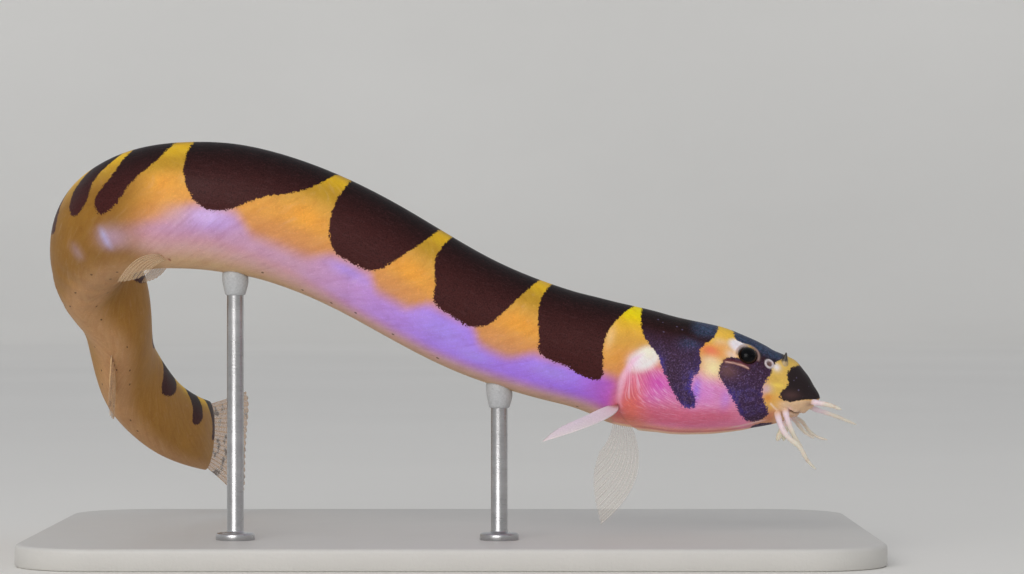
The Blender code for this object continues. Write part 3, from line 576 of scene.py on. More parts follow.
def trim_colour(along, angle, points):
    """Colour and share of what lies over the marks: slit, lid ring, painted shade in the eye socket, nostril
    rim.
    """
    trim = np.zeros(along.shape + (3,)) + paint(104, 40, 46)
    share = np.zeros(along.shape)
    for turn in (-1, 1):
        same = np.sign(angle) == turn
        away = np.linalg.norm(points - flesh(RIM_ALONG, turn * RIM_ANGLE)[0], axis=-1)
        share = np.maximum(share, 0.95 * ease(RIM_RADIUS + 0.13, RIM_RADIUS + 0.04, away))
        trim = lay(trim, paint(218, 206, 210), ease(0.8, 0.6, away))
        trim = lay(trim, paint(136, 108, 104), ease(RIM_RADIUS - 0.04, RIM_RADIUS - 0.12, away))
        off = distance_to_line(points, slit_line(turn))
        over = ease(69, 66, np.abs(angle)) * ease(5.3, 5.9, along) * same
        trim = lay(trim, paint(236, 188, 172), hump(off, 0.07))
        share = np.maximum(share, np.maximum(hump(off, 0.08), 0.85 * hump(off - 0.13, 0.11) * over))
        off, _ = from_eye(points, turn)
        lower = (np.abs(angle) - EYE_ANGLE) * EYE_DEGREE
        ring = same * hump(off - EYE_DISC - LID_OFF, 0.085) * ease(0.45, 0.15, lower)
        # Painted shade: the socket's wall round the eyeball is painted near black.
        socket = same * ease(EYE_DISC + 0.10, EYE_DISC + 0.02, off)
        trim = lay(trim, paint(172, 142, 132), same * ease(1.05, 0.95, off) * ease(0.45, 0.15, lower))
        trim = lay(trim, paint(40, 28, 32), socket)
        share = np.maximum(share, np.maximum(0.9 * ring, socket))
    return trim, share


flat_along, flat_angle = skin_along.ravel(), skin_angle.ravel()
flat_points = flesh(flat_along, flat_angle)[0]
coat = ground_colour(flat_along, flat_angle)
coat = head_colour(coat, flat_along, flat_angle)
coat = lips_colour(coat, flat_along, flat_angle, flat_points)
coat = np.concatenate([coat, coat[:1], coat[-1:]])
trim, trim_share = trim_colour(flat_along, flat_angle, flat_points)
depth = darkness(flat_along, flat_angle)
low_half = np.abs(flat_angle)
BLUE_PATCHES = [((5.9, 102), (1.2, 15)), ((5.0, 122), (0.9, 9)), ((9.6, 96), (0.75, 22)),
                ((9.5, 119), (0.8, 6)), ((10.0, 56), (0.8, 8)), ((12.0, 84), (0.5, 12))]
blue = between(2.8, 9.8, 0.6, flat_along) * ease(50, 30, low_half)
for place, size in BLUE_PATCHES:
    blue = np.maximum(blue, spot(flat_along, low_half, place, size))
below_slit = spot(flat_along, low_half, (7.1, 77), (0.8, 9))
on_snout = spot(flat_along, low_half, (2.3, 99), (0.7, 9))
russet = np.maximum(below_slit, 0.5 * on_snout)
slant = 0.95 * ease(142, 84, low_half)
streak_line = low_half * DEGREE + (flat_along - 11.0) * slant
streaks = ease(14.4, 13.8, flat_along) * ease(4.2, 6.5, flat_along) * ease(74, 92, low_half)
streaks *= 1 - 0.6 * ease(116, 134, low_half)
muscle_line = flat_along - 0.085 * np.hypot(low_half - 62, 16)
for name, values, first, last in (
        ("darkness", depth, 1.0, -1.0), ("blue_sheen", blue, 0, 0), ("russet", russet, 0, 0),
        ("streaks", streaks, 0, 0), ("streak_line", streak_line, 0, 0),
        ("muscle_line", muscle_line, 0, SKIN_END), ("trim_share", trim_share, 0, 0),
        ("along", flat_along, 0, SKIN_END), ("down", low_half / 180, 0.5, 0.5)):
    give(body_skin, name, np.r_[values, first, last])
give_colour(body_skin, "coat", coat)
give_colour(body_skin, "trim", np.concatenate([trim, trim[:1], trim[-1:]]))


def feed(tree, node, inputs):
    """Feeds a node's inputs: outputs are linked, numbers and colours set on its own sockets."""
    for key, value in inputs.items():
        if isinstance(value, bpy.types.NodeSocket):
            tree.links.new(value, node.inputs[key])
        else:
            node.inputs[key].default_value = value


def add_node(tree, kind, inputs=None, **settings):
    """One node with its settings; inputs are numbers, colours or the outputs that feed them."""
    made = tree.nodes.new(kind)
    for key, value in settings.items():
        setattr(made, key, value)
    feed(tree, made, inputs or {})
    return made


def reckon(tree, operation, *values):
    """The result of one sum on numbers or sockets."""
    return add_node(tree, "ShaderNodeMath", dict(enumerate(values)), operation=operation).outputs[0]


def times(tree, first, second):
    """The product of two numbers or sockets."""
    return reckon(tree, "MULTIPLY", first, second)


def mingle(tree, share, first, second, mode="MIX"):
    """Two colours mixed by a share."""
    first, second = (c if isinstance(c, bpy.types.NodeSocket) else (*c, 1) for c in (first, second))
    made = add_node(tree, "ShaderNodeMix", {0: share, 6: first, 7: second}, data_type="RGBA", blend_type=mode)
    return made.outputs[2]


def stretch(tree, value, low, high, start=0.0, end=1.0, smooth=True):
    """A value's range low to high brought to start to end, held at both ends."""
    made = add_node(tree, "ShaderNodeMapRange", {0: value, 1: low, 2: high, 3: start, 4: end},
                    interpolation_type="SMOOTHSTEP" if smooth else "LINEAR")
    return made.outputs[0]


def number(tree, name):
    """A piece's own number of that name."""
    return add_node(tree, "ShaderNodeAttribute", attribute_name=name).outputs["Fac"]


def colour_of(tree, name):
    """A piece's own colour of that name."""
    return add_node(tree, "ShaderNodeAttribute", attribute_name=name).outputs["Color"]


def bump_of(tree, height, strength, distance):
    """The normal that a height gives, at most distance high in metres."""
    made = add_node(tree, "ShaderNodeBump", {"Height": height, "Strength": strength, "Distance": distance})
    return made.outputs["Normal"]


def new_finish(name):
    """A new material with its tree and its Principled shader."""
    made = bpy.data.materials.new(name)
    made.use_nodes = True
    return made, made.node_tree, made.node_tree.nodes["Principled BSDF"]


def grain_group():
    """Shared grain: a fine and a coarse noise over a place, both about 0 to 1."""
    group = bpy.data.node_groups.new("grain", "ShaderNodeTree")
    group.interface.new_socket("Place", in_out="INPUT", socket_type="NodeSocketVector")
    group.interface.new_socket("Fine", in_out="INPUT", socket_type="NodeSocketFloat")
    group.interface.new_socket("Coarse", in_out="INPUT", socket_type="NodeSocketFloat")
    group.interface.new_socket("Fine grain", in_out="OUTPUT", socket_type="NodeSocketFloat")
    group.interface.new_socket("Coarse grain", in_out="OUTPUT", socket_type="NodeSocketFloat")
    source = group.nodes.new("NodeGroupInput")
    sink = group.nodes.new("NodeGroupOutput")
    for size, grain, detail in (("Fine", "Fine grain", 2.0), ("Coarse", "Coarse grain", 4.0)):
        noise = add_node(group, "ShaderNodeTexNoise",
                         {"Vector": source.outputs["Place"], "Scale": source.outputs[size], "Detail": detail})
        spread_out = stretch(group, noise.outputs["Fac"], 0.25, 0.75, smooth=False)
        group.links.new(spread_out, sink.inputs[grain])
    return group


GRAIN = grain_group()


def grain(tree, fine, coarse, place=None):
    """The shared grain placed in a material: its fine and coarse outputs."""
    if place is None:
        place = add_node(tree, "ShaderNodeTexCoord").outputs["Object"]
    inputs = {"Place": place, "Fine": fine, "Coarse": coarse}
    made = add_node(tree, "ShaderNodeGroup", inputs, node_tree=GRAIN)
    return made.outputs["Fine grain"], made.outputs["Coarse grain"]


def drawn_noise(tree, first, first_scale, second, second_scale, detail, distortion):
    """Noise on a sheet laid over two of the skin's numbers, each drawn out by its own scale."""
    sheet = add_node(tree, "ShaderNodeCombineXYZ", {0: times(tree, number(tree, first), first_scale),
                                                    1: times(tree, number(tree, second), second_scale)})
    made = add_node(tree, "ShaderNodeTexNoise",
                    {"Vector": sheet.outputs[0], "Scale": 1.0, "Detail": detail, "Distortion": distortion})
    return made.outputs["Fac"]


def cells(tree, scale):
    """Distance from the nearest of many points strewn through the piece."""
    place = add_node(tree, "ShaderNodeTexCoord").outputs["Object"]
    return add_node(tree, "ShaderNodeTexVoronoi", {"Vector": place, "Scale": scale}).outputs["Distance"]


def skin_ground(tree, fine, coarse, dust, cloud, on_head):
    """The coat between the marks: mottled, banded by the muscle, fibred, streaked and dotted."""
    lit = mingle(tree, stretch(tree, cloud, 0.5, 0.0, 0.0, 0.40), colour_of(tree, "coat"),
                 (0.86, 0.80, 0.80), "MULTIPLY")
    lit = mingle(tree, stretch(tree, cloud, 0.5, 1.0, 0.0, 0.45), lit, (1.14, 1.12, 1.08), "MULTIPLY")
    lit = mingle(tree, stretch(tree, dust, 0.0, 1.0, 0.0, 0.22), lit, (0.80, 0.74, 0.78), "MULTIPLY")
    muscle = add_node(tree, "ShaderNodeTexNoise",
                      {"W": number(tree, "muscle_line"), "Scale": 0.9, "Detail": 3.0},
                      noise_dimensions="1D").outputs["Fac"]
    band = times(tree, stretch(tree, muscle, 0.40, 0.62), 0.20)
    lit = mingle(tree, band, lit, (0.86, 0.74, 0.74), "MULTIPLY")
    fibres = drawn_noise(tree, "muscle_line", 2.0, "down", 15.0, 3.0, 0.7)
    on_trunk = reckon(tree, "SUBTRACT", 1.0, on_head)
    dim = times(tree, stretch(tree, fibres, 0.52, 0.30, 0.0, 0.40), on_trunk)
    lit = mingle(tree, dim, lit, (0.86, 0.79, 0.81), "MULTIPLY")
    bright = times(tree, stretch(tree, fibres, 0.52, 0.90, 0.0, 0.09), on_trunk)
    lit = mingle(tree, bright, lit, paint(255, 226, 214))
    lit = mingle(tree, stretch(tree, coarse, 0.5, 0.0, 0.0, 0.35), lit, (0.84, 0.79, 0.81), "MULTIPLY")
    lit = mingle(tree, stretch(tree, fine, 0.50, 1.0, 0.0, 0.50), lit, (1.24, 1.24, 1.24), "MULTIPLY")
    flowing = drawn_noise(tree, "streak_line", 14.0, "along", 1.4, 4.0, 0.8)
    on_cheek = number(tree, "streaks")
    pale = times(tree, stretch(tree, flowing, 0.50, 0.72), on_cheek)
    deep = times(tree, stretch(tree, flowing, 0.50, 0.30), on_cheek)
    lit = mingle(tree, times(tree, pale, 0.46), lit, paint(255, 218, 246))
    lit = mingle(tree, times(tree, deep, 0.34), lit, paint(192, 56, 124))
    spread_out = add_node(tree, "ShaderNodeCombineXYZ",
                          {0: number(tree, "along"), 1: times(tree, number(tree, "down"), 13.0)})
    dots = add_node(tree, "ShaderNodeTexVoronoi",
                    {"Vector": spread_out.outputs[0], "Scale": 0.40, "Randomness": 0.8},
                    voronoi_dimensions="2D")
    low_edge = times(tree, stretch(tree, number(tree, "down"), 0.82, 0.84),
                     stretch(tree, number(tree, "along"), 16.0, 17.0))
    dot = times(tree, stretch(tree, dots.outputs["Distance"], 0.055, 0.030), low_edge)
    return mingle(tree, times(tree, dot, 0.8), lit, paint(84, 62, 44)), muscle


def skin_marks(tree, fine, coarse, dust, on_head, inside):
    """The dark of the marks: brown on the trunk, blue, lilac and flecked on the head."""
    down = number(tree, "down")
    brown = mingle(tree, stretch(tree, down, 0.10, 0.46), paint(20, 13, 14), paint(69, 30, 29))
    lengthwise = drawn_noise(tree, "along", 1.3, "down", 60.0, 3.0, 0.0)
    brown = mingle(tree, stretch(tree, lengthwise, 0.50, 0.80, 0.0, 0.22), brown, paint(92, 60, 62))
    below_crown = times(tree, on_head, stretch(tree, down, 0.22, 0.38, 0.0, 0.9))
    brown = mingle(tree, below_crown, brown, paint(66, 47, 72))
    brown = mingle(tree, stretch(tree, dust, 0.50, 1.0, 0.0, 0.42), brown, paint(98, 56, 56))
    brown = mingle(tree, stretch(tree, fine, 0.55, 0.10, 0.0, 0.45), brown, paint(14, 9, 10))
    flank = stretch(tree, down, 0.24, 0.44)
    blue_edge = mingle(tree, flank, paint(70, 98, 132), paint(92, 78, 152))
    blue_heart = mingle(tree, flank, paint(52, 70, 96), paint(62, 44, 72))
    blue_tone = mingle(tree, stretch(tree, coarse, 0.20, 0.60, 0.0, 0.85), blue_edge, blue_heart)
    edging = times(tree, flank, stretch(tree, inside, 0.45, 0.08, 0.0, 0.6))
    blue_tone = mingle(tree, edging, blue_tone, paint(74, 64, 196))
    blue_tone = mingle(tree, stretch(tree, fine, 0.50, 0.95, 0.0, 0.60), blue_tone, paint(122, 104, 158))
    blue_tone = mingle(tree, stretch(tree, dust, 0.45, 0.0, 0.0, 0.60), blue_tone, paint(24, 15, 24))
    patchy = times(tree, number(tree, "blue_sheen"), stretch(tree, dust, 0.0, 0.8, 0.30, 0.8))
    dark = mingle(tree, patchy, brown, blue_tone)
    flecked = times(tree, on_head, stretch(tree, fine, 0.55, 0.95, 0.0, 0.6))
    dark = mingle(tree, times(tree, flecked, flank), dark, paint(122, 96, 144))
    dark = mingle(tree, stretch(tree, number(tree, "along"), 3.3, 3.0), dark, paint(46, 37, 39))
    dark = mingle(tree, times(tree, number(tree, "russet"), 0.65), dark, paint(126, 90, 88))
    strewn = times(tree, on_head, stretch(tree, coarse, 0.35, 0.7, 0.0, 0.45))
    speck = times(tree, stretch(tree, cells(tree, 1900.0), 0.17, 0.09), strewn)
    return mingle(tree, speck, dark, paint(128, 116, 156))


def skin_finish():
    """Moist skin: the coat, ragged dark marks over it, the trim over both, fine bumps and gloss."""
    made, tree, shader = new_finish("moist_skin")
    fine, coarse = grain(tree, 9500.0, 3200.0)
    dust, cloud = grain(tree, 17000.0, 700.0)
    on_head = stretch(tree, number(tree, "along"), 14.6, 13.8)
    rough_edge = reckon(tree, "MULTIPLY_ADD", stretch(tree, number(tree, "down"), 0.40, 0.52), 0.12, 0.18)
    rough_edge = reckon(tree, "MULTIPLY_ADD", on_head, 0.02, rough_edge)
    ragged = times(tree, reckon(tree, "ADD", fine, -0.5), rough_edge)
    ragged = reckon(tree, "MULTIPLY_ADD", reckon(tree, "ADD", coarse, -0.5), 0.16, ragged)
    inside = reckon(tree, "ADD", number(tree, "darkness"), ragged)
    ground, muscle = skin_ground(tree, fine, coarse, dust, cloud, on_head)
    marks = skin_marks(tree, fine, coarse, dust, on_head, inside)
    colour = mingle(tree, stretch(tree, inside, -0.035, 0.05), ground, marks)
    height = reckon(tree, "ADD", times(tree, cells(tree, 6500.0), 0.5), times(tree, muscle, 0.8))
    feed(tree, shader, {
        "Base Color": mingle(tree, number(tree, "trim_share"), colour, colour_of(tree, "trim")),
        "Roughness": stretch(tree, cloud, 0.0, 1.0, 0.40, 0.50, smooth=False),
        "Specular IOR Level": 0.10, "Coat Weight": 0.02, "Coat Roughness": 0.18,
        "Subsurface Weight": 0.08, "Subsurface Radius": (1.0, 0.45, 0.35), "Subsurface Scale": 0.0005,
        "Normal": bump_of(tree, height, 0.30, 0.00004)})
    return made


body_skin.data.materials.append(skin_finish())
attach(body_skin, "root")
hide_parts("head", "trunk_front", "trunk_middle", "trunk_rear", "tail_front", "tail_rear")


# Each eye is a small glassy ball, black with a thin dull ring of iris. It is sunk in a socket of
# the skin, under a soft ring of lid.
SIDES = (("right", -1), ("left", 1))
EYE_STEPS = 42
EYE_AROUND = 56


def eyeball(side, turn):
    """A ball whose poles lie on the line of sight: rings by the angle from that line."""
    centre, out = eye_seat(turn)
    centre = centre - EYE_SINK * out
    across = np.cross(out, (0, 0, 1.0))
    across /= np.linalg.norm(across)
    upward = np.cross(out, across)
    tilt = np.linspace(0, np.pi, EYE_STEPS)[1:-1]
    round_it = 2 * np.pi * np.arange(EYE_AROUND) / EYE_AROUND
    side_way = np.cos(round_it)[:, None] * across + np.sin(round_it)[:, None] * upward
    rings = centre + EYE_RADIUS * (np.cos(tilt)[:, None, None] * out
                                   + np.sin(tilt)[:, None, None] * side_way[None])
    piece, _ = closed_tube("eye_ball_" + side, rings, centre + EYE_RADIUS * out, centre - EYE_RADIUS * out)
    give(piece, "from_sight", np.r_[np.repeat(np.degrees(tilt), EYE_AROUND), 0, 180])
    return piece


def eye_finish():
    """Black pupil, a narrow bronze ring at its edge, then dark; a clear gloss over all."""
    made, tree, shader = new_finish("glassy_eye")
    fine, coarse = grain(tree, 14000.0, 3000.0)
    turned = reckon(tree, "ADD", number(tree, "from_sight"), times(tree, coarse, 3.0))
    ring = times(tree, stretch(tree, turned, 50, 56), stretch(tree, turned, 70, 62))
    iris = mingle(tree, fine, paint(92, 62, 46), paint(150, 112, 84))
    colour = mingle(tree, times(tree, ring, 0.22), paint(2, 2, 5), iris)
    feed(tree, shader, {"Base Color": colour, "Roughness": 0.22, "Specular IOR Level": 0.12,
                        "Coat Weight": 0.04, "Coat Roughness": 0.05})
    return made


EYE_FINISH = eye_finish()
for side, turn in SIDES:
    ball = eyeball(side, turn)
    ball.data.materials.append(EYE_FINISH)
    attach(ball, "root")
    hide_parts("eye_" + side)


# A short pointed tube stands up over each front nostril, its mouth a small hollow. It is the
# head's own dark skin, drawn out, and it pales to amber at the base.
TUBE_ALONG = 3.00
TUBE_ANGLES = {"right": 38.0, "left": 45.0}
TUBE_HEIGHT = 0.64
TUBE_RINGS = 22
TUBE_AROUND = 28
HOLLOW_RINGS = 7


def swept(centre_line, radii, around, flat, lean):
    """Rings of a given radius square to a line, flattened across by flat."""
    along = np.gradient(centre_line, axis=0)
    along /= np.linalg.norm(along, axis=1, keepdims=True)
    first = np.cross(along, lean)
    first /= np.linalg.norm(first, axis=1, keepdims=True)
    second = np.cross(along, first)
    turn = 2 * np.pi * np.arange(around) / around
    spoke = (np.cos(turn)[None, :, None] * first[:, None]
             + flat * np.sin(turn)[None, :, None] * second[:, None])
    return centre_line[:, None] + np.asarray(radii)[:, None, None] * spoke


def nostril_finish():
    """Dark skin that pales to amber at the base."""
    made, tree, shader = new_finish("nostril_skin")
    fine, coarse = grain(tree, 12000.0, 2500.0)
    reach = reckon(tree, "ADD", number(tree, "reach"), reckon(tree, "MULTIPLY_ADD", coarse, 0.3, -0.15))
    colour = mingle(tree, stretch(tree, reach, 0.30, 0.50), paint(206, 178, 128), paint(50, 46, 44))
    colour = mingle(tree, times(tree, fine, 0.4), colour, paint(110, 96, 84))
    feed(tree, shader, {"Base Color": colour, "Roughness": 0.35})
    return made


NOSTRIL_FINISH = nostril_finish()
for side, turn in SIDES:
    foot, out = skin(TUBE_ALONG, turn * TUBE_ANGLES[side])
    lean = 0.35 * out + np.array([0.18, 0, 0.78])
    rise = np.linspace(0, 1, TUBE_RINGS)
    line = (foot - 0.25 * out) + rise[:, None] * ((TUBE_HEIGHT * lean) + 0.25 * out)
    wide = 0.26 * (1 - rise) ** 1.5 + 0.19 - 0.12 * rise ** 2
    outer = swept(line, wide, TUBE_AROUND, 0.8, (1.0, 0, 0))
    back_down = slice(-2, -2 - HOLLOW_RINGS, -1)
    centre = line[back_down][:, None]
    inner = centre + (outer[back_down] - centre) * np.linspace(0.62, 0.3, HOLLOW_RINGS)[:, None, None]
    rings = np.concatenate([outer, inner])
    tube, _ = closed_tube("nostril_tube_" + side, rings, line[0], line[-1 - HOLLOW_RINGS])
    give(tube, "reach", np.r_[np.repeat(np.r_[rise, np.ones(HOLLOW_RINGS)], TUBE_AROUND), 0, 1])
    tube.data.materials.append(NOSTRIL_FINISH)
    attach(tube, "root")


# Three pairs of soft feelers hang round the mouth, with two small lobes on the lower lip. Each
# is a tapering, slightly flat finger of pale, half clear skin that grows out of the lip.
Y = AXIS[0][1]
FEELERS = {
    "barbel_rostral_right": (0.45, -116, [(27.0, Y - 0.85, 11.35), (27.95, Y - 1.0, 11.0)]),
    "barbel_rostral_left": (0.50, 142, [(27.0, Y + 0.80, 10.72), (29.2, Y + 1.0, 9.85)]),
    "barbel_maxillary_right": (3.10, -131, [
        (23.50, Y - 2.25, 9.95), (24.05, Y - 2.40, 9.05), (24.85, Y - 2.35, 8.35),
        (25.35, Y - 2.25, 7.50), (26.00, Y - 2.10, 6.80)]),
    "barbel_maxillary_left": (3.15, 127, [
        (24.30, Y + 2.40, 10.45), (25.35, Y + 2.35, 10.05), (25.85, Y + 2.30, 9.40),
        (26.55, Y + 2.15, 8.90), (27.20, Y + 2.00, 8.70)]),
    "barbel_mandibular_right": (2.50, -130, [
        (24.15, Y - 1.65, 9.95), (24.50, Y - 1.55, 9.15), (25.10, Y - 1.45, 8.30)]),
    "barbel_mandibular_left": (2.50, 130, [
        (24.80, Y + 1.50, 10.15), (25.35, Y + 1.45, 9.45), (26.20, Y + 1.35, 8.85)]),
    "lobe_mental_right": (2.15, -166, [(23.75, Y - 0.55, 9.55), (23.35, Y - 0.60, 8.75)]),
    "lobe_mental_left": (2.15, 166, [(24.05, Y + 0.55, 9.45), (23.90, Y + 0.55, 8.70)]),
}


def feeler_finish(name, tint, tip_share):
    """Half clear skin: brown at the root, then lilac white, then the tint; faint brown flecks."""
    made, tree, shader = new_finish(name)
    fine, coarse = grain(tree, 12000.0, 1800.0)
    reach = number(tree, "reach")
    colour = mingle(tree, stretch(tree, reach, 0.06, 0.20), paint(226, 178, 134), paint(240, 216, 226))
    colour = mingle(tree, stretch(tree, reach, 0.25, 0.60), colour, tint)
    colour = mingle(tree, stretch(tree, coarse, 0.62, 0.9, 0.0, 0.35), colour, paint(204, 158, 132))
    colour = mingle(tree, times(tree, fine, 0.2), colour, paint(250, 240, 240))
    feed(tree, shader, {
        "Base Color": colour, "Alpha": stretch(tree, reach, 0.4, 1.0, 1.0, tip_share), "Roughness": 0.38,
        "Subsurface Weight": 0.25, "Subsurface Radius": (1.0, 0.6, 0.6), "Subsurface Scale": 0.0005,
        "Normal": bump_of(tree, coarse, 0.35, 0.00003)})
    return made


FEELER_FINISH = feeler_finish("feeler_skin", paint(240, 228, 208), 0.78)
LOBE_FINISH = feeler_finish("lobe_skin", paint(244, 234, 204), 0.55)
FAR_SHARE = 0.82
FEELER_RINGS = 60
FEELER_AROUND = 24
# Share of the length, and the radius there
FEELER_WIDTHS = [(0, 0.27), (0.12, 0.235), (0.3, 0.205), (0.6, 0.175), (0.85, 0.13), (0.96, 0.09), (1, 0.04)]
LOBE_WIDTHS = [(0, 0.30), (0.2, 0.29), (0.5, 0.28), (0.85, 0.22), (0.95, 0.15), (1, 0.05)]
for name, (along, angle, path) in FEELERS.items():
    start, out = skin(along, angle)
    heading = path[0] - start
    heading = heading / np.linalg.norm(heading) + 0.4 * out
    _, line = evenly_run([start - 0.32 * heading, start + 0.06 * heading] + path, FEELER_RINGS)
    share = np.linspace(0, 1, FEELER_RINGS)
    is_lobe = name.startswith("lobe")
    wide = np.interp(share, *zip(*(LOBE_WIDTHS if is_lobe else FEELER_WIDTHS)))
    if name.endswith("left"):
        wide = wide * FAR_SHARE
    wide = wide * (1 + 0.05 * np.sin(share * 31 + along) + 0.03 * np.sin(share * 67))
    rings = swept(line, wide, FEELER_AROUND, 0.78, (0.1, 1.0, 0.2))
    feeler, _ = closed_tube("soft_" + name, rings, line[0], line[-1] + (line[-1] - line[-2]) * 0.5)
    give(feeler, "reach", np.r_[np.repeat(share, FEELER_AROUND), 0, 1])
    feeler.data.materials.append(LOBE_FINISH if is_lobe else FEELER_FINISH)
    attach(feeler, "root")
    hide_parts(name)


# The fins are clear membrane on fine bony rays that fork half way out; each grows from a fleshy
# root under the skin. The breast fins are spread, one edge on to the viewer.
MEMBRANE = 0.035
RAY = 0.075
RIPPLE = 0.02
PER_RAY = 10
FIN_ROWS = 44


def fin_blade(name, roots, rays, bows):
    """A closed thin sheet: root + ray * b + bow * 4b(1 - b), thick where a forking ray runs.

    Across the rays the place is a ray number w; each ray is a hump round its whole number that
    parts into two past 0.38 of its length. The margin is notched between rays.
    """
    count = len(roots)
    w = np.linspace(0, count - 1, (count - 1) * PER_RAY + 1)
    root, ray, bow = (np.stack([np.interp(w, np.arange(count), np.asarray(a)[:, k]) for k in range(3)], -1)
                      for a in (roots, rays, bows))
    ray = ray * (1 - 0.018 * np.sin(np.pi * w) ** 2)[:, None]
    b = np.linspace(0, 1, FIN_ROWS)
    sheet = root[:, None] + ray[:, None] * b[None, :, None] + bow[:, None] * (4 * b * (1 - b))[None, :, None]
    phase = (w[:, None] + 0.5) % 1 - 0.5
    fork = 0.17 * ease(0.38, 0.95, b)[None]
    on_ray = np.maximum(hump(phase - fork, 0.085), hump(phase + fork, 0.085))
    joints = 1 - 0.22 * ease(0.6, 1.0, np.cos(b * 110))[None] * ease(0.15, 0.3, b)[None]
    taper = (1 - 0.72 * b)[None]
    half = MEMBRANE / 2 + (RAY / 2 * joints * taper + 0.10 * ease(0.16, 0.0, b)[None]) * on_ray
    half = half + 0.10 * ease(0.10, 0.0, b)[None]
    sheet_u = np.gradient(sheet, axis=0)
    sheet_v = np.gradient(sheet, axis=1)
    normal = np.cross(sheet_u, sheet_v)
    normal /= np.linalg.norm(normal, axis=-1, keepdims=True)
    ripple = RIPPLE * (b ** 2)[None] * np.sin(2 * np.pi * w)[:, None]
    sheet = sheet + normal * ripple[..., None]
    front = sheet + normal * half[..., None]
    rear = sheet - normal * half[..., None]
    columns, rows = sheet.shape[:2]
    rim_in = np.concatenate([front, rear[::-1]], axis=0)
    loop = rim_in.transpose(1, 0, 2)
    corners = tube_triangles(rows, 2 * columns)
    faces = corners[..., 0] * 2 * columns + corners[..., 1] % (2 * columns)
    ends = []
    for row, flip in ((0, 1), (rows - 1, -1)):
        j = np.arange(columns - 1)
        a = row * 2 * columns + j
        c = row * 2 * columns + 2 * columns - 1 - j
        quad = np.concatenate([np.stack([a, a + 1, c - 1], -1), np.stack([a, c - 1, c], -1)])
        ends.append(quad[:, ::flip])
    piece = mesh_of(name, loop.reshape(-1, 3), np.concatenate([faces] + ends))
    strength = on_ray * (0.55 + 0.45 * taper)
    give(piece, "ray", np.concatenate([strength, strength[::-1]], axis=0).T)
    give(piece, "reach", np.repeat(b, 2 * columns))
    return piece


def fin_finish(name, membrane, bone, clear, flecks=0.0, milky=0.9):
    """Clear membrane and milky rays; thicker and rosier at the root; dusky flecks on some fins."""
    made, tree, shader = new_finish(name)
    fine, coarse = grain(tree, 9000.0, 1300.0)
    ray = number(tree, "ray")
    reach = number(tree, "reach")
    colour = mingle(tree, ray, membrane, bone)
    colour = mingle(tree, stretch(tree, reach, 0.16, 0.0, 0.0, 0.8), colour, paint(226, 138, 128))
    dusky = times(tree, stretch(tree, coarse, 0.55, 0.8), flecks)
    colour = mingle(tree, dusky, colour, paint(78, 56, 44))
    solid = reckon(tree, "MULTIPLY_ADD", ray, milky - clear, clear)
    solid = reckon(tree, "MAXIMUM", solid, stretch(tree, reach, 0.14, 0.0))
    solid = reckon(tree, "MAXIMUM", solid, times(tree, dusky, 0.8))
    solid = times(tree, solid, stretch(tree, fine, 0.0, 1.0, 0.85, 1.0))
    feed(tree, shader, {"Base Color": colour, "Alpha": solid, "Roughness": 0.30,
                        "Normal": bump_of(tree, fine, 0.25, 0.00002)})
    return made


# Share of the rays, then the reach along the span and the place across as shares of the length
LEAF = [(0.0, 1.00, 0.00), (0.25, 0.89, -0.041), (0.5, 0.74, -0.088), (0.75, 0.56, -0.114),
        (1.0, 0.375, -0.088)]
LEAF_ROOT = 0.041
LEAF_BOW = (0.24, 0.06)


def leaf_fin(name, foot, span, across, lift, rays, length, push):
    """A leaf-shaped fin: the leading ray is bowed forward to the tip, the rest end on the rear margin."""
    span = np.array(span) / np.linalg.norm(span)
    across = np.array(across) - span * span.dot(across)
    across /= np.linalg.norm(across)
    share = np.linspace(0, 1, rays)
    table = np.array(LEAF).T
    reach = length * steady_curve(table[0], table[1], share)
    place = length * steady_curve(table[0], table[2], share)
    roots = foot + across * (length * LEAF_ROOT * (1 - 2 * share))[:, None]
    ends = foot + span * reach[:, None] + across * place[:, None]
    bow = length * (LEAF_BOW[0] + (LEAF_BOW[1] - LEAF_BOW[0]) * share)
    start = roots - push * span
    return fin_blade(name, start, ends - start, across * bow[:, None] + np.asarray(lift, float))


BREAST_RAYS = 11
for side, turn, span, across, lift, membrane, clear, milky in (
        ("right", -1, (-0.62, -0.73, -0.27), (0.76, -0.65, 0.0), (0, 0, 0.25), (255, 238, 240), 0.97, 1.0),
        ("left", 1, (-0.117, 0.12, -0.993), (0.993, 0.0, -0.117), (0, 0.3, 0), (232, 220, 200), 0.14, 0.45)):
    along, angle, length = BREAST_SEATS[turn]
    foot, _ = skin(along, turn * angle)
    blade = leaf_fin("breast_fin_" + side, foot, span, across, lift, BREAST_RAYS, length, 0.35)
    finish = fin_finish("breast_fin_skin_" + side, paint(*membrane), paint(255, 250, 250), clear, 0.0, milky)
    blade.data.materials.append(finish)
    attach(blade, "root")
    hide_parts("pectoral_fin_" + side)

BELLY_RAYS = 8
BELLY_LENGTH = 3.9
BELLY_ALONG = 49.6
BELLY_ANGLE = 150
REAR_FINISH = fin_finish("rear_fin_skin", paint(226, 196, 160), paint(240, 214, 176), 0.24)
for side, turn in SIDES:
    foot, _ = skin(BELLY_ALONG, turn * BELLY_ANGLE)
    _, tail, back, left = axis_at(BELLY_ALONG)
    blade = leaf_fin("belly_fin_" + side, foot, 0.80 * tail - 0.35 * back + turn * 0.45 * left,
                     0.5 * back + turn * 0.2 * left - 0.1 * tail, (0, 0, 0), BELLY_RAYS, BELLY_LENGTH, 0.3)
    blade.data.materials.append(REAR_FINISH)
    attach(blade, "root")
    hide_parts("pelvic_fin_" + side)


RIDGE_SINK = 0.35


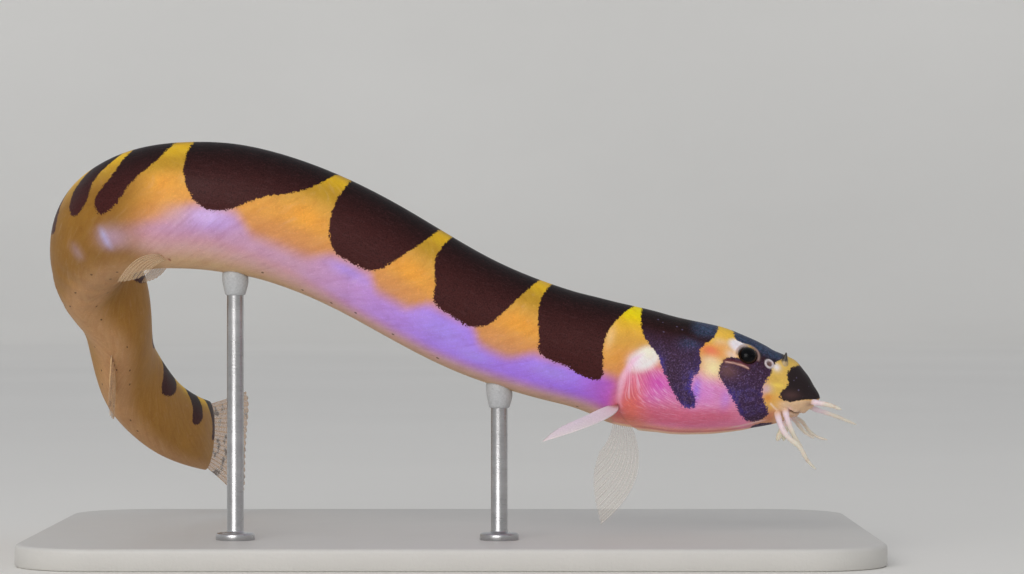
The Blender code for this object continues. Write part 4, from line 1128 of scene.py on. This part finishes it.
def ridge_fin(name, size):
    """A fin on the mid line, its rays leaning tailward and shortening to the rear."""
    share = np.linspace(0, 1, size["rays"])
    along = size["start"] + (size["end"] - size["start"]) * share
    roots, out = skin(along, size["angle"])
    tail = axis_at(along)[1]
    reach = size["height"] * (1 - 0.62 * share ** 1.3) * np.interp(share, (0, 0.12, 1), (0.86, 1, 1))
    rays = out * reach[:, None] + tail * (0.75 * reach * (0.8 + 0.5 * share))[:, None]
    return fin_blade(name, roots - RIDGE_SINK * out, rays + RIDGE_SINK * out, np.zeros(rays.shape))


MID_FINISH = fin_finish("mid_fin_skin", paint(224, 184, 140), paint(236, 200, 150), 0.36, 0.5)
for name, node, size in (
        ("back_fin", "dorsal_fin", {"start": 58.9, "end": 62.9, "angle": 0, "rays": 9, "height": 4.6}),
        ("vent_fin", "anal_fin", {"start": 67.2, "end": 70.9, "angle": 180, "rays": 8, "height": 3.9})):
    blade = ridge_fin(name, size)
    blade.data.materials.append(MID_FINISH)
    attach(blade, "root")
    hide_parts(node)

TAIL_RAYS = 18
TAIL_LENGTH = 9.4
TAIL_ROOT = 85.1
share = np.linspace(-1, 1, TAIL_RAYS)
centre, tail, back, left = axis_at(TAIL_ROOT)
half_depth = steady_curve([r[0] for r in SECTIONS], [r[1] for r in SECTIONS], TAIL_ROOT)
direction = tail + back * (0.24 * share)[:, None]
direction /= np.linalg.norm(direction, axis=1, keepdims=True)
length = TAIL_LENGTH * (1 - 0.10 * (1 - share ** 2) - 0.14 * np.abs(share) ** 6)
roots = centre + back * (share * 0.90 * half_depth)[:, None] - 0.6 * direction
bows = left * (0.35 * np.cos(share))[:, None]
tail_fin = fin_blade("tail_fan", roots, direction * (length + 0.9)[:, None], bows)
finish = fin_finish("tail_fin_skin", paint(222, 176, 130), paint(234, 192, 140), 0.42, 0.85)
tail_fin.data.materials.append(finish)
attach(tail_fin, "root")
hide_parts("caudal_fin")


# The display stand: a powder-coated steel plate with two brushed steel rods in it. Each rod has
# a collar where it leaves the plate and a soft grey pad on top, shaped to the belly.
ROD_PLACES = {"front": 3.4, "rear": -15.6}
ROD_RADIUS = 0.6
BASE_TOP = 1.6
PAD_RADIUS = 0.95
ROD_AROUND = 48
# Samples of the axis that lie before the tail's bend
BEFORE_BEND = 900


def belly_height(x, y):
    """Height of the belly over a point: the axis distance is stepped until the skin is there."""
    along = np.interp(-x, -AXIS_CENTRE[:BEFORE_BEND, 0], AXIS_ALONG[:BEFORE_BEND])
    for _ in range(12):
        width = steady_curve([r[0] for r in SECTIONS], [r[3] for r in SECTIONS], along)
        angle = 180 - np.degrees(np.arcsin(np.clip((y - Y) / width, -1, 1)))
        point = flesh(along, angle)[0]
        along = along + (point[..., 0] - x)
    return point[..., 2]


def turned(name, x, y, profile):
    """A surface turned about an upright line from its radius and height profile."""
    turn = 2 * np.pi * np.arange(ROD_AROUND) / ROD_AROUND
    profile = np.array(profile, float)
    rings = np.stack([x + profile[:, :1] * np.cos(turn), y + profile[:, :1] * np.sin(turn),
                      np.repeat(profile[:, 1:], ROD_AROUND, 1)], -1)
    return closed_tube(name, rings, (x, y, profile[0, 1]), (x, y, profile[-1, 1]))[0]


def steel_finish():
    """Steel brushed round the rod: fine rings of grain in the roughness and the bump."""
    made, tree, shader = new_finish("brushed_rod")
    place = add_node(tree, "ShaderNodeMapping",
                     {0: add_node(tree, "ShaderNodeTexCoord").outputs["Object"], 3: (0.05, 0.05, 1.0)})
    fine, coarse = grain(tree, 26000.0, 900.0, place.outputs[0])
    colour = mingle(tree, coarse, paint(178, 178, 180), paint(204, 204, 206))
    feed(tree, shader, {"Base Color": colour, "Metallic": 1.0,
                        "Roughness": stretch(tree, fine, 0.0, 1.0, 0.24, 0.40, smooth=False),
                        "Normal": bump_of(tree, fine, 0.25, 0.00001)})
    return made


def pad_finish():
    """Soft clear-grey silicone."""
    made, tree, shader = new_finish("soft_pad")
    fine, _ = grain(tree, 8000.0, 900.0)
    colour = mingle(tree, fine, paint(176, 178, 180), paint(196, 198, 200))
    feed(tree, shader, {"Base Color": colour, "Roughness": 0.42})
    return made


STEEL = steel_finish()
PAD = pad_finish()
for end, x in ROD_PLACES.items():
    top = float(belly_height(np.array([x]), np.array([Y]))[0])
    profile = [
        (0.50, BASE_TOP - 0.7), (ROD_RADIUS, BASE_TOP - 0.6), (ROD_RADIUS, BASE_TOP - 0.05),
        (1.35, BASE_TOP - 0.03), (1.40, BASE_TOP + 0.02), (1.40, BASE_TOP + 0.38),
        (1.33, BASE_TOP + 0.48), (1.22, BASE_TOP + 0.52), (0.72, BASE_TOP + 0.54),
        (0.64, BASE_TOP + 0.60), (ROD_RADIUS, BASE_TOP + 0.72), (ROD_RADIUS, top - 1.4),
        (ROD_RADIUS, top - 1.3), (0.56, top - 1.2)]
    rod = turned("steel_rod_" + end, x, Y, profile)
    rod.data.materials.append(STEEL)
    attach(rod, "root")
    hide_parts("stand_rod_" + end)
    turn = 2 * np.pi * np.arange(ROD_AROUND) / ROD_AROUND
    share = np.array([0.70, 0.78, 0.86, 0.95, 1.0, 1.0, 0.96, 0.86, 0.6, 0.3])
    lift = np.array([-1.5, -1.42, -1.1, -0.75, -0.45, -0.12, 0.0, 0.06, 0.06, 0.06])
    px = x + PAD_RADIUS * share[:, None] * np.cos(turn)
    py = Y + PAD_RADIUS * share[:, None] * np.sin(turn)
    follow = np.clip((lift + 1.5) / 1.4, 0, 1)[:, None]
    pz = top + lift[:, None] + follow * (belly_height(px, py) - top)
    rings = np.stack([px, py, pz], -1)
    pad, _ = closed_tube("soft_pad_" + end, rings, (x, Y, top - 1.5), (x, Y, top + 0.06))
    pad.data.materials.append(PAD)
    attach(pad, "root")


def coated_finish():
    """Pale powder coat: a fine orange-peel of small dimples, dulled a little in patches."""
    made, tree, shader = new_finish("powder_coat")
    fine, coarse = grain(tree, 5200.0, 260.0)
    colour = mingle(tree, coarse, paint(212, 210, 206), paint(216, 214, 210))
    feed(tree, shader, {"Base Color": colour,
                        "Roughness": stretch(tree, coarse, 0.0, 1.0, 0.46, 0.50, smooth=False),
                        "Normal": bump_of(tree, fine, 0.35, 0.00003)})
    return made


BASE_LENGTH = 62.0
BASE_WIDTH = 44.0
BASE_CORNER = 6.0
quarter = np.radians(np.linspace(0, 90, 25))
rim_x = np.concatenate([sx * (BASE_LENGTH / 2 - BASE_CORNER) + BASE_CORNER * np.cos(quarter + k * np.pi / 2)
                        for k, sx in enumerate((1, -1, -1, 1))])
rim_y = np.concatenate([sy * (BASE_WIDTH / 2 - BASE_CORNER) + BASE_CORNER * np.sin(quarter + k * np.pi / 2)
                        for k, sy in enumerate((1, 1, -1, -1))])
out_x = np.concatenate([np.cos(quarter + k * np.pi / 2) for k in range(4)])
out_y = np.concatenate([np.sin(quarter + k * np.pi / 2) for k in range(4)])
edge_turn = np.radians(np.linspace(0, 90, 7))
inset = np.r_[4.0, 0.5, 0.12, 0.0, 0.0, 0.30 * (1 - np.cos(edge_turn)), 0.6, 4.0]
level = np.r_[0.0, 0.0, 0.02, 0.12, 1.25, BASE_TOP - 0.30 * (1 - np.sin(edge_turn)), BASE_TOP, BASE_TOP]
rings = np.stack([rim_x - inset[:, None] * out_x, rim_y - inset[:, None] * out_y,
                  np.repeat(level[:, None], len(rim_x), 1)], -1)
base, _ = closed_tube("base_plate", rings, (0, 0, 0), (0, 0, BASE_TOP))
base.data.materials.append(coated_finish())
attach(base, "root")
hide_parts("stand_base")


# The studio: a pale floor that rises all round into a low wall, soft lights, and the camera,
# level with the fish's flank.
FLOOR_FLAT = 1000
FLOOR_BEND = 400
WALL_TOP = 560
FLOOR_STEPS = 24
FLOOR_AROUND = 96


def studio_floor():
    """A surface turned about the upright through the origin: flat, then a quarter round, then up."""
    climb = np.linspace(0, np.pi / 2, FLOOR_STEPS)[1:]
    radius = np.r_[np.linspace(20, FLOOR_FLAT, FLOOR_STEPS), FLOOR_FLAT + FLOOR_BEND * np.sin(climb),
                   FLOOR_FLAT + FLOOR_BEND]
    height = np.r_[np.zeros(FLOOR_STEPS), FLOOR_BEND - FLOOR_BEND * np.cos(climb), WALL_TOP]
    turn = 2 * np.pi * np.arange(FLOOR_AROUND) / FLOOR_AROUND
    rings = np.stack([radius[:, None] * np.cos(turn), radius[:, None] * np.sin(turn),
                      np.repeat(height[:, None], FLOOR_AROUND, 1)], -1)
    corners = tube_triangles(len(radius), FLOOR_AROUND)
    faces = corners[..., 0] * FLOOR_AROUND + corners[..., 1] % FLOOR_AROUND
    j = np.arange(FLOOR_AROUND)
    hub = np.stack([np.full(FLOOR_AROUND, len(radius) * FLOOR_AROUND), j, (j + 1) % FLOOR_AROUND], -1)
    points = np.concatenate([rings.reshape(-1, 3), [(0, 0, 0)]])
    floor = mesh_of("studio_floor", points, np.concatenate([faces, hub]))
    made, tree, shader = new_finish("pale_floor")
    _, coarse = grain(tree, 60.0, 8.0)
    colour = mingle(tree, coarse, paint(243, 241, 236), paint(248, 246, 241))
    feed(tree, shader, {"Base Color": colour, "Roughness": 0.8})
    floor.data.materials.append(made)
    return floor


studio_floor()


def soft_light(name, place, aim, size, power, colour):
    """A square area light at a place in millimetres, turned to a point."""
    light = bpy.data.lights.new(name, "AREA")
    light.size = size * MM
    light.energy = power
    light.color = colour
    lamp = bpy.data.objects.new(name, light)
    bpy.context.scene.collection.objects.link(lamp)
    place, aim = (np.array(p, float) for p in (place, aim))
    lamp.location = place * MM
    x, y, z = aim - place
    lamp.rotation_euler = (math.atan2(math.hypot(x, y), -z), 0, math.atan2(y, x) - math.pi / 2)


soft_light("key", (-140, -430, 200), (0, -10, 16), 280, 1.0, (1.0, 0.98, 0.95))
sun = bpy.data.lights.new("fill", "SUN")
sun.energy = 1.8
sun.angle = math.radians(40)
sun.color = (0.97, 0.98, 1.0)
lamp = bpy.data.objects.new("fill", sun)
bpy.context.scene.collection.objects.link(lamp)
lamp.rotation_euler = (math.radians(89), 0, math.radians(20))

world = bpy.data.worlds.new("studio_air")
world.use_nodes = True
world.node_tree.nodes["Background"].inputs["Color"].default_value = (0.93, 0.95, 1.0, 1)
world.node_tree.nodes["Background"].inputs["Strength"].default_value = 0.47
bpy.context.scene.world = world
bpy.context.scene.view_settings.view_transform = "Standard"

PICTURE_WIDE = 1024
PIXEL = 0.072
CAMERA_AWAY = 250.0
CAMERA_ALONG = 4.32
CAMERA_UP = 19.80
FILM = 36.0
camera_data = bpy.data.cameras.new("camera")
camera_data.sensor_width = FILM
camera_data.lens = FILM * CAMERA_AWAY / (PICTURE_WIDE * PIXEL)
camera = bpy.data.objects.new("camera", camera_data)
bpy.context.scene.collection.objects.link(camera)
camera.location = (CAMERA_ALONG * MM, (Y - CAMERA_AWAY) * MM, CAMERA_UP * MM)
camera.rotation_euler = (math.pi / 2, 0, 0)
camera_data.clip_start = 0.005
bpy.context.scene.camera = camera
